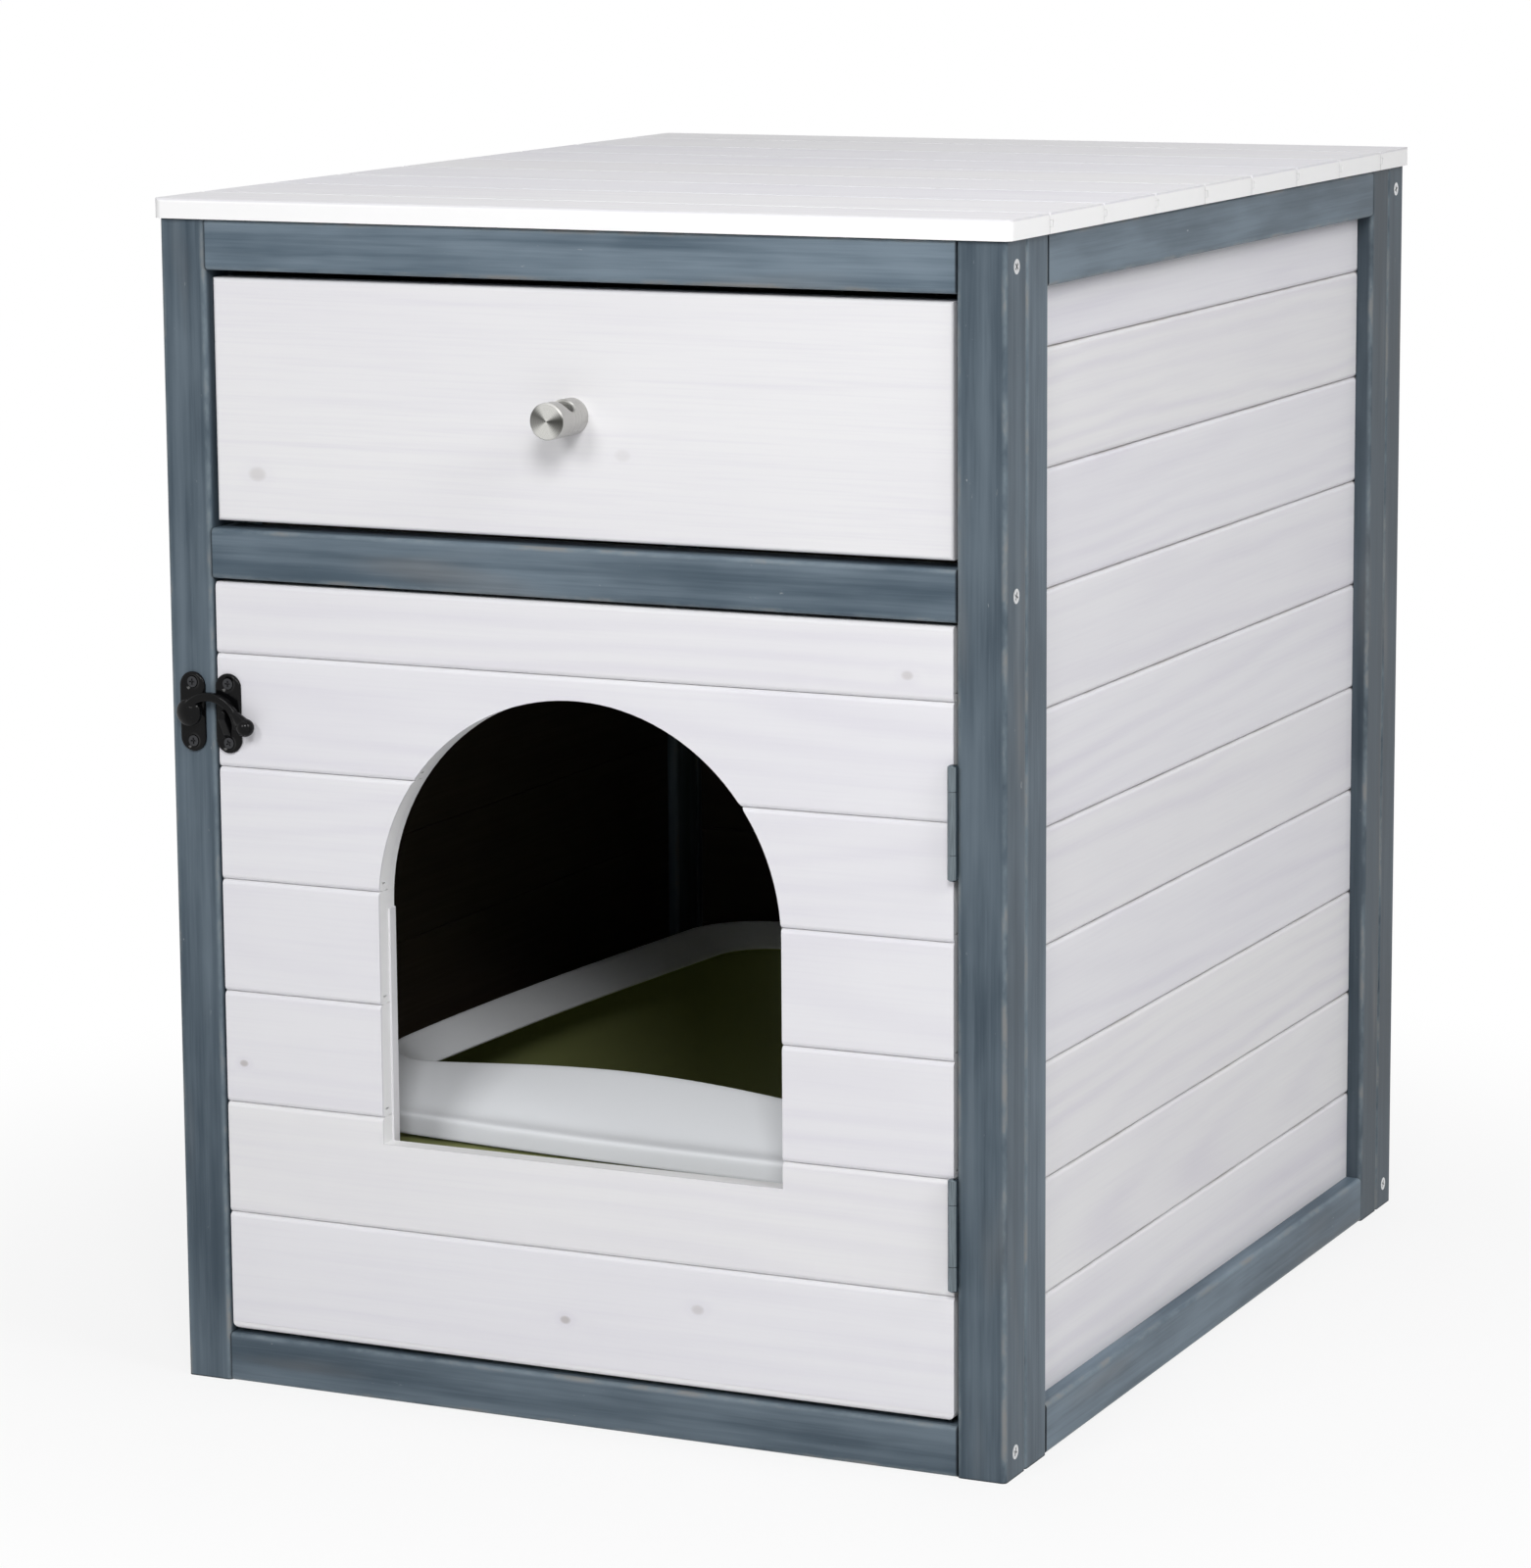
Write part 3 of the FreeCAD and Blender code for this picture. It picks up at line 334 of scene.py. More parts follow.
@dataclass(frozen=True)
class Whitewash:
    """Thin white paint over pine boards, which lets a faint grain through.

    Attributes:
        along: The direction of the boards.
        across: The direction from board to board.
        first_joint: The place of a joint between two boards.
        pitch: The width of a board.
        seed: What the grain is drawn from.
        streak_gain: How much more the wider streaks show than the fibres.
        seam_strength: How strongly dirt shows in the joints.
        seam_reach: How far from a joint the dirt is full, and where it ends.
        ring_rate: How close the rings of the tree are, in radians to the metre.
        heart_spread: How far to one side of the tree's heart a board may be cut.
        heart_depth: How near to the heart it is cut at least, and how much deeper at most.
        lean: How much a board leans along the tree.
        knot_length: How long a knot is, as a multiple of its width.
        knot_reach: The radii to which its ring shows, and to which the grain bends round it.
        knot_bend: How far the grain bends, in radii.
        roll_width: How far in from a joint the board's face rolls off.
        cover: How much of the grain the thick and the cut edges' paint hides.
        inside_shade_within: Inner faces this near to the cabinet's middle are painted in very dark
            wood colours, as painted shade of the cabinet's inside.
        thick_below: The paint is thick below this place through the board, on its edges.
        cut_highlight_from: The cut edges and the back, in from this place, have whiter paint:
            partly fuller paint, partly a painted highlight that lightens the entrance's jamb.
    """

    name: str
    along: Axis
    across: Axis
    first_joint: float
    pitch: float
    seed: float
    paint: Colour = (0.774, 0.769, 0.778)
    cool_paint: Colour = (0.768, 0.763, 0.792)
    thick_paint: Colour = (0.925, 0.922, 0.920)
    # Whiter colour of the cut edges: partly fuller paint, partly a painted highlight on the
    # entrance's jamb.
    cut_paint_highlight: Colour = (0.870, 0.868, 0.872)
    grain_colour: Colour = (0.540, 0.505, 0.615)
    knot_colour: Colour = (0.290, 0.250, 0.215)
    seam_colour: Colour = (0.330, 0.290, 0.240)
    # Very dark wood colours for inner faces: painted shade of the cabinet's inside, much darker
    # than bare pine.
    inside_shade_colour: Colour = (0.060, 0.047, 0.032)
    inside_shade_streak: Colour = (0.040, 0.031, 0.022)
    cloud: Waves = Waves(4.0, 14.0, 2.0)
    wander: Waves = Waves(3.1, 11.0, 2.0)
    ripple: Waves = Waves(12.0, 40.0, 2.0)
    fade: Waves = Waves(2.6, 24.0, 2.0)
    fibres: Waves = Waves(14.0, 620.0, 4.0)
    streaks: Waves = Waves(5.0, 150.0, 3.0)
    cloud_strength: float = 0.10
    grain_strength: float = 0.34
    fibre_strength: float = 0.06
    streak_gain: float = 1.5
    seam_strength: float = 0.0
    ring_rate: float = 560.0
    ring_sharpness: float = 1.6
    heart_spread: float = 0.11
    heart_depth: tuple[float, float] = (0.006, 0.022)
    lean: float = 0.14
    wander_reach: float = 0.026
    ripple_reach: float = 0.0030
    knot_length: float = 1.4
    knot_reach: tuple[float, float] = (2.2, 3.5)
    knot_ring: float = 0.30
    knot_bend: float = 1.6
    roll_width: float = 0.0090
    roll_depth: float = 0.0003
    seam_reach: tuple[float, float] = (0.0002, 0.0013)
    paint_fade: float = 0.0006
    cover: float = 0.9
    grain_depth: float = 0.00012
    roughness: tuple[float, float] = (0.50, 0.64)
    specular: float = 0.26
    knots: tuple[Knot, ...] = ()
    inside_shade_within: float | None = None
    thick_below: float | None = None
    cut_highlight_from: float | None = None

    def build(self) -> bpy.types.Material:
        """Make the material.

        Returns:
            The material.
        """
        graph = Graph(self.name)
        along = graph.place(self.along)
        across = graph.place(self.across)
        depth_axis = next(axis for axis in Axis if axis not in (self.along, self.across))
        depth = graph.place(depth_axis)
        board = ((across - self.first_joint) / self.pitch).floor()
        first, second, third = graph.scatter(board + self.seed)
        offset = across - (self.first_joint + (board + 0.5) * self.pitch)
        shift = board * 3.7 + self.seed
        grain, fibres, streak = self._grain(graph, along, across, depth, offset, shift,
                                            (first, second, third))
        colour = graph.mix((first * 0.6 + second * 0.4).ramp(0.2, 0.8), self.paint,
                           self.cool_paint)
        cloud = graph.wood(self.cloud, along, across, depth, shift)
        for mark in (cloud.ramp(0.35, 0.75, 0.0, self.cloud_strength),
                     grain * self.grain_strength,
                     streak.ramp(0.50, 0.80, 0.0, self.fibre_strength * self.streak_gain),
                     fibres.ramp(0.40, 0.75, 0.0, self.fibre_strength)):
            colour = graph.mix(mark, colour, self.grain_colour)
        for knot in self.knots:
            heart = self._nearness(graph, along, across, knot, 1.0)
            ring = self._nearness(graph, along, across, knot, self.knot_reach[0])
            colour = graph.mix(ring * self.knot_ring * knot.strength, colour, self.grain_colour)
            colour = graph.mix(heart * knot.strength, colour, self.knot_colour)
        from_joint = self.pitch / 2 - abs(offset)
        dirt = graph.noise((along * 22.0 + shift, across * 3.0, 0.0), 1.0, 3.0)
        seam = (from_joint.ramp(*self.seam_reach, 1.0, 0.0)
                * dirt.ramp(0.40, 0.66, 0.2, 1.0))
        colour = graph.mix(seam * self.seam_strength, colour, self.seam_colour)
        if self.thick_below is not None:
            edge = (self.thick_below - depth).ramp(0.0, self.paint_fade)
            colour = graph.mix(edge * (self.cover - seam * 0.8), colour, self.thick_paint)
        # The cut edges and the back are painted whiter, partly as a painted highlight on the jamb.
        if self.cut_highlight_from is not None:
            cut = (depth - self.cut_highlight_from).ramp(0.0, self.paint_fade)
            colour = graph.mix(cut * self.cover, colour, self.cut_paint_highlight)
        # Inner faces are painted dark, as shade of the cabinet's inside.
        if self.inside_shade_within is not None:
            inside = (self.inside_shade_within - abs(depth)).ramp(-0.0002, 0.0002)
            colour = graph.mix(inside, colour,
                               graph.mix(streak, self.inside_shade_colour, self.inside_shade_streak))
        share = ((self.pitch / 2 - offset) / self.roll_width).least(1.0)
        rolled = graph.bump(share * (2.0 - share), self.roll_depth)
        height = fibres * 0.45 + grain * 0.30 + streak * 0.45
        normal = graph.bump(height, self.grain_depth, 0.4, rolled)
        return graph.finish(Base_Color=colour, Normal=normal,
                            Roughness=fibres.ramp(0.2, 0.8, *self.roughness),
                            Specular_IOR_Level=self.specular)

    def _grain(self, graph: Graph, along: Value, across: Value, depth: Value, offset: Value,
               shift: Value, scatter: tuple[Value, Value, Value]) -> tuple[Value, Value, Value]:
        """Return the rings of the tree as this board cuts them, and two sizes of fibre.

        Args:
            graph: The graph that the values belong to.
            along: The place along the board.
            across: The place across all the boards.
            depth: The place through the board.
            offset: The place across this board, from its middle.
            shift: A number that differs from board to board.
            scatter: Three random numbers of this board.

        Returns:
            The late wood, the fine fibres and the wider streaks.
        """
        first, second, third = scatter
        place = (along, across, depth, shift)
        wander = graph.wood(self.wander, *place) - 0.5
        ripple = graph.wood(self.ripple, *place) - 0.5
        ring_across = (offset - (first - 0.5) * self.heart_spread
                       + wander * self.wander_reach + ripple * self.ripple_reach)
        nearest, deeper = self.heart_depth
        ring_depth = (second * deeper + nearest
                      + (along + third - 0.5) * (third - 0.5) * self.lean)
        for knot in self.knots:
            near = self._nearness(graph, along, across, knot, self.knot_reach[1])
            ring_depth = ring_depth + near * knot.radius * self.knot_bend
        radius = (ring_across * ring_across + ring_depth * ring_depth) ** 0.5
        spacing = graph.noise((radius * 60.0, shift, 0.0), 1.0, 1.0) * 3.4
        rings = graph.math("SINE", radius * self.ring_rate + spacing + ripple) * 0.5 + 0.5
        fade = graph.wood(self.fade, *place)
        grain = rings ** self.ring_sharpness * (fade.ramp(0.34, 0.72) * 0.85 + 0.15)
        return grain, graph.wood(self.fibres, *place), graph.wood(self.streaks, *place)

    def _nearness(self, graph: Graph, along: Value, across: Value, knot: Knot,
                  spread: float) -> Value:
        """Return 1 at a knot's heart, falling to 0 at a multiple of its radius.

        Args:
            graph: The graph that the value belongs to.
            along: The place along the board.
            across: The place across the board.
            knot: The knot.
            spread: The multiple of the knot's radius.

        Returns:
            The nearness.
        """
        run = (along - knot.along) / (knot.radius * spread * self.knot_length)
        rise = (across - knot.across) / (knot.radius * spread)
        return (run * run + rise * rise).ramp(0.1, 1.0, 1.0, 0.0)


@dataclass(frozen=True)
class BlueGreyStain:
    """Streaky blue-grey stain on one timber, rubbed through to brown along its edges, with a
    painted highlight along them and painted shade at its joints and under the top.

    Attributes:
        along: The direction of the timber.
        low: The low corner of the timber's box.
        high: The high corner of the timber's box.
        seed: What the streaks are drawn from.
        tone: How pale the stain is, as a share of its usual colours; lower on timbers that get
            less light, so partly painted shade.
        under_top: The height of the underside of the top, under which a dark line of shade is
            painted.
        worn_reach: How far in from an edge the stain is rubbed, and over what it fades.
        crevice_shade: How near to a joint or to the underside of the top the stain is painted dark
            as shade, and where that ends.
        nicks: Short scratches across the grain.
        glint_and_wear_strength: How strongly the pale edge shows, partly rubbed stain and partly a
            painted highlight on the eased edge, and bare_strength the wood in it.
    """

    name: str
    along: Axis
    low: Vector
    high: Vector
    seed: float
    tone: float = 1.0
    under_top: float = 0.660
    deep: Colour = (0.062, 0.092, 0.122)
    pale: Colour = (0.172, 0.222, 0.268)
    # Pale colour along the edges: partly rubbed stain, partly a painted highlight on the eased
    # edges.
    edge: Colour = (0.235, 0.285, 0.315)
    bare: Colour = (0.235, 0.215, 0.195)
    scratch: Colour = (0.420, 0.440, 0.450)
    # Near-black painted shade in the joints and under the top.
    seam: Colour = (0.010, 0.014, 0.018)
    worn_reach: tuple[float, float] = (0.0034, 0.0026)
    crevice_shade: tuple[float, float] = (0.0002, 0.0011)
    streaks: Waves = Waves(3.0, 110.0, 4.0, 0.6)
    cloud: Waves = Waves(9.0, 30.0, 3.0)
    wear: Waves = Waves(28.0, 60.0, 4.0, 0.65)
    nicks: Waves = Waves(150.0, 420.0, 2.0)
    glint_and_wear_strength: float = 0.45
    bare_strength: float = 0.55
    patch_strength: float = 0.30
    nick_strength: float = 0.75
    crevice_strength: float = 0.85
    grain_depth: float = 0.00022
    roughness: tuple[float, float] = (0.42, 0.58)
    specular: float = 0.22

    def build(self) -> bpy.types.Material:
        """Make the material.

        Returns:
            The material.
        """
        graph = Graph(self.name)
        along = graph.place(self.along)
        first, second = [axis for axis in Axis if axis is not self.along]
        across = graph.place(first)
        depth = graph.place(second)
        seed = self.seed
        streak, cloud, wear, nick = (graph.wood(waves, along, across, depth, seed) for waves in
                                     (self.streaks, self.cloud, self.wear, self.nicks))
        fibre = graph.noise((along * 30.0, across * 800.0, depth * 800.0 + seed), 1.0, 3.0)
        tone = streak * 0.55 + cloud * 0.50 + fibre * 0.10
        deep = tuple(part * self.tone for part in self.deep)
        pale = tuple(part * self.tone for part in self.pale)
        colour = graph.mix(tone.ramp(0.40, 0.76), deep, pale)
        from_first = self._edge_distance(graph, across, first)
        from_second = self._edge_distance(graph, depth, second)
        to_edge = from_first.most(from_second)
        reach, fade = self.worn_reach
        # A band along the edges: pale as partly wear and partly a painted highlight, then bare
        # wood where rubbed through.
        worn_and_glint = (reach - to_edge).ramp(0.0, fade)
        colour = graph.mix(worn_and_glint * wear.ramp(0.30, 0.60) * self.glint_and_wear_strength, colour, self.edge)
        colour = graph.mix(worn_and_glint * wear.ramp(0.50, 0.66) * self.bare_strength, colour, self.bare)
        patch = graph.noise((along * 5.0, across * 30.0 + seed, depth * 30.0), 1.0, 2.0)
        colour = graph.mix(patch.ramp(0.58, 0.80) * self.patch_strength, colour, self.bare)
        nick = nick.ramp(0.735, 0.80) * wear.ramp(0.45, 0.65)
        colour = graph.mix(nick * self.nick_strength, colour, self.scratch)
        # Painted shade: near-black at the timber's ends, where it meets the next, and just under
        # the top's edge.
        from_end = self._edge_distance(graph, along, self.along)
        under_top = self.under_top - graph.place(Axis.Z)
        crevice_shade = from_end.least(under_top).ramp(*self.crevice_shade, self.crevice_strength, 0.0)
        colour = graph.mix(crevice_shade, colour, self.seam)
        normal = graph.bump(streak * 0.5 + fibre * 0.6, self.grain_depth, 0.6)
        return graph.finish(Base_Color=colour, Normal=normal,
                            Roughness=tone.ramp(0.3, 0.9, *self.roughness),
                            Specular_IOR_Level=self.specular)

    def _edge_distance(self, graph: Graph, place: Value, axis: Axis) -> Value:
        """Return how far inside its nearer face a point of the timber lies."""
        low = place - self.low[axis.value]
        return low.least(self.high[axis.value] - place)


@dataclass(frozen=True)
class BareMetal:
    """Plated or brushed metal with fine marks along one direction."""

    name: str
    colour: Colour
    roughness: float
    lines_along: Axis = Axis.Z
    line_scale: float = 2600.0
    contrast: float = 0.16

    def build(self) -> bpy.types.Material:
        """Make the material.

        Returns:
            The material.
        """
        graph = Graph(self.name)
        stretch = [self.line_scale] * 3
        stretch[self.lines_along.value] = self.line_scale / 40
        where = graph.vector(*[graph.place(axis) * stretch[axis.value] for axis in Axis])
        lines = graph.noise(where, 1.0, 3.0)
        dull = graph.noise(graph.spot(), 120.0, 2.0)
        shade = tuple(part * (1 - self.contrast) for part in self.colour)
        colour = graph.mix(lines.ramp(0.3, 0.7), self.colour, shade)
        rough = (lines * 0.5 + dull * 0.5).ramp(0.25, 0.75, self.roughness * 0.8,
                                                self.roughness * 1.25)
        return graph.finish(Base_Color=colour, Metallic=1.0, Roughness=rough,
                            Normal=graph.bump(lines, 0.00002, 0.35))


@dataclass(frozen=True)
class TurnedSteel:
    """Satin steel turned on a lathe: fine rings about the knob's own axis, with painted reflection
    in sectors of the face, painted shade in the scoop and a side painted darker as shade.
    """

    name: str
    axis_x: float
    axis_z: float
    face_y: float
    radius: float
    colour: Colour = (0.60, 0.595, 0.57)
    # The side is painted darker than the face, as shade; dark serves the painted shade of the
    # scoop and the dark sectors of the painted reflection.
    side: Colour = (0.50, 0.495, 0.475)
    dark: Colour = (0.055, 0.055, 0.050)
    ring_scale: float = 2600.0

    def build(self) -> bpy.types.Material:
        """Make the material.

        Returns:
            The material.
        """
        graph = Graph(self.name)
        x = graph.place(Axis.X) - self.axis_x
        z = graph.place(Axis.Z) - self.axis_z
        radius = (x * x + z * z) ** 0.5
        rings = graph.noise((radius, graph.place(Axis.Y), 0.0), self.ring_scale, 2.0)
        angle = graph.math("ARCTAN2", z, x)
        # Painted reflection: two opposite sectors of the face are darkened, as the turned face's
        # reflection.
        painted_reflection_wedge = graph.math("COSINE", angle * 2.0 + 0.35) * 0.5 + 0.5
        uneven = graph.math("SINE", angle * 3.0 + 1.1) * 0.14 + 0.86
        on_face = (self.face_y + 0.0008 - graph.place(Axis.Y)).ramp(0.0, 0.0004)
        # Painted shade in the finger scoop.
        painted_scoop_shade = (self.radius - radius).ramp(0.0003, 0.0016)
        body = graph.mix(painted_scoop_shade * 0.85, self.side, self.dark)
        face = graph.mix(painted_reflection_wedge.ramp(0.22, 0.98) * uneven, self.colour, self.dark)
        return graph.finish(Base_Color=graph.mix(on_face, body, face), Metallic=1.0,
                            Roughness=rings.ramp(0.2, 0.8, 0.24, 0.38),
                            Normal=graph.bump(rings, 0.00002, 0.2))


@dataclass(frozen=True)
class BlackEnamel:
    """Glossy black paint on a casting, with a slightly uneven skin."""

    name: str
    colour: Colour = (0.003, 0.003, 0.0034)
    dust: Colour = (0.04, 0.04, 0.04)
    roughness: tuple[float, float] = (0.08, 0.14)
    specular: float = 0.13

    def build(self) -> bpy.types.Material:
        """Make the material.

        Returns:
            The material.
        """
        graph = Graph(self.name)
        where = graph.spot()
        skin = graph.noise(where, 420.0, 2.0)
        dust = graph.noise(where, 2600.0, 2.0).ramp(0.68, 0.78)
        colour = graph.mix(dust * 0.15, self.colour, self.dust)
        return graph.finish(Base_Color=colour, Normal=graph.bump(skin, 0.00008, 0.4),
                            Roughness=skin.ramp(0.3, 0.7, *self.roughness),
                            Specular_IOR_Level=self.specular)


@dataclass(frozen=True)
class MouldedPlastic:
    """Injection-moulded plastic with a faint skin texture."""

    name: str
    colour: Colour
    roughness: float
    grain_depth: float = 0.00003

    def build(self) -> bpy.types.Material:
        """Make the material.

        Returns:
            The material.
        """
        graph = Graph(self.name)
        where = graph.spot()
        skin = graph.noise(where, 900.0, 3.0)
        flow = graph.noise(where, 9.0, 2.0)
        shade = tuple(part * 0.97 for part in self.colour)
        colour = graph.mix(flow.ramp(0.1, 0.9), self.colour, shade)
        rough = flow.ramp(0.0, 1.0, self.roughness * 0.95, self.roughness * 1.05)
        return graph.finish(Base_Color=colour, Roughness=rough,
                            Normal=graph.bump(skin, self.grain_depth, 0.4))


# ---- Sub-assemblies -----------------------------------------------------------------------


def dress(node: str, material: bpy.types.Material) -> None:
    """Give a carried-over node its finish.

    Args:
        node: The node's name.
        material: The finish.
    """
    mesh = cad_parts[node].data
    mesh.materials.clear()
    mesh.materials.append(material)
    LOG.info("dressed %s with %s", node, material.name)


def add_object(name: str, data: bpy.types.ID) -> bpy.types.Object:
    """Return a new object of the scene.

    Args:
        name: Its name.
        data: The mesh, light or camera that it holds.

    Returns:
        The object.
    """
    made = bpy.data.objects.new(name, data)
    bpy.context.scene.collection.objects.link(made)
    return made


@dataclass
class TimberFrame:
    """The stained timbers, each with its own streaks, its own depth of stain and rubbed edges; the
    depths are partly painted shade.
    """

    uprights: tuple[str, ...] = (
        "front_left_stile", "front_right_stile", "back_left_stile", "back_right_stile",
        "left_front_post", "left_rear_post", "right_front_post", "right_rear_post")
    cross_rails: tuple[str, ...] = (
        "front_top_rail", "front_middle_rail", "front_bottom_rail",
        "back_top_rail", "back_bottom_rail")
    side_rails: tuple[str, ...] = (
        "left_top_rail", "left_bottom_rail", "right_top_rail", "right_bottom_rail")
    # Each timber's darker tone is partly its own stain and partly painted shade where less light
    # falls.
    tones_and_shade: dict[str, float] = field(default_factory=lambda: {
        "front_left_stile": 0.70, "front_right_stile": 0.66, "back_right_stile": 0.48,
        "right_rear_post": 0.43, "right_front_post": 0.76, "right_top_rail": 0.92,
        "front_middle_rail": 0.88, "front_bottom_rail": 0.74})

    def dress(self) -> None:
        """Stain every timber along its own length."""
        groups = ((self.uprights, Axis.Z), (self.cross_rails, Axis.X), (self.side_rails, Axis.Y))
        seed = 1.0
        for nodes, along in groups:
            for node in nodes:
                low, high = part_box(node)
                stain = BlueGreyStain("stain_" + node, along, low, high, seed,
                                      self.tones_and_shade.get(node, 1.0))
                dress(node, stain.build())
                seed += 7.3


@dataclass
class Boarding:
    """The whitewashed boards of the sides, back, top, door and drawer."""

    side_first_joint: float = 0.082
    side_pitch: float = 0.0645
    door_first_joint: float = 0.099
    door_pitch: float = 0.064
    top_first_joint: float = -0.2585
    top_pitch: float = 0.077
    door_knots: tuple[Knot, ...] = (
        Knot(-0.010, 0.060, 0.0028, 0.5), Knot(0.071, 0.075, 0.0034, 0.3),
        Knot(-0.211, 0.186, 0.0024, 0.5), Knot(0.196, 0.432, 0.0030, 0.3))
    drawer_knots: tuple[Knot, ...] = (
        Knot(-0.195, 0.520, 0.0048, 0.25), Knot(0.030, 0.540, 0.0042, 0.12))

    def dress(self) -> None:
        """Paint every boarded panel and the drawer."""
        # The inner faces of the sides and the back are painted dark, as shade inside the cabinet.
        side = Whitewash("whitewash_sides", Axis.Y, Axis.Z, self.side_first_joint,
                         self.side_pitch, 11.0, roll_depth=0.0005, seam_strength=0.4,
                         grain_strength=0.26, inside_shade_within=0.2325)
        back = Whitewash("whitewash_back", Axis.X, Axis.Z, self.side_first_joint,
                         self.side_pitch, 37.0, inside_shade_within=0.3150)
        top = Whitewash("whitewash_top", Axis.X, Axis.Y, self.top_first_joint,
                        self.top_pitch, 53.0, grain_strength=0.16, seam_strength=0.3,
                        thick_below=0.6702)
        door = Whitewash("whitewash_door", Axis.X, Axis.Z, self.door_first_joint,
                         self.door_pitch, 71.0, knots=self.door_knots, grain_strength=0.16,
                         cut_highlight_from=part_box("door_boards")[0].y + 0.0012)
        drawer = Whitewash("whitewash_drawer", Axis.X, Axis.Z, 0.4, 1.0, 91.0,
                           knots=self.drawer_knots, grain_strength=0.06,
                           fibre_strength=0.10)
        # The floor panel is painted dark all over, as shade inside the cabinet.
        inner = Whitewash("painted_shade_inside", Axis.X, Axis.Y, -0.4, 0.06, 97.0, inside_shade_within=1.0)
        upright = Whitewash("whitewash_upright", Axis.Z, Axis.X, -0.4, 1.0, 103.0)
        lengthwise = Whitewash("whitewash_lengthwise", Axis.Y, Axis.Z, 0.0, 1.0, 109.0)
        # The arch's backing is painted all over in the cut edges' whiter colour, partly a painted
        # highlight on the jamb.
        backing = Whitewash("whitewash_backing", Axis.X, Axis.Z, self.door_first_joint,
                            self.door_pitch, 73.0, paint=Whitewash.cut_paint_highlight,
                            cool_paint=Whitewash.cut_paint_highlight, grain_strength=0.06)
        groups = {
            side: ("left_side_boards", "right_side_boards"),
            back: ("back_boards",),
            top: ("top_boards",),
            door: ("door_boards", "door_sill_board", "door_crown_board"),
            backing: ("door_arch_backing",),
            drawer: ("drawer_front", "drawer_back", "drawer_bottom"),
            inner: ("floor_panel",),
            upright: ("door_left_batten", "door_right_batten", "door_stop"),
            lengthwise: ("drawer_left_side", "drawer_right_side", "left_drawer_runner",
                         "right_drawer_runner", "top_left_batten", "top_right_batten"),
        }
        for finish, nodes in groups.items():
            material = finish.build()
            for node in nodes:
                dress(node, material)


@dataclass(frozen=True)
class ScrewSize:
    """The sizes of one kind of countersunk cross-head screw."""

    head_radius: float
    shank_radius: float
    length: float


@dataclass(frozen=True)
class ScrewSpot:
    """Where a screw's head is, and which way it faces."""

    place: Vector
    facing: Vector


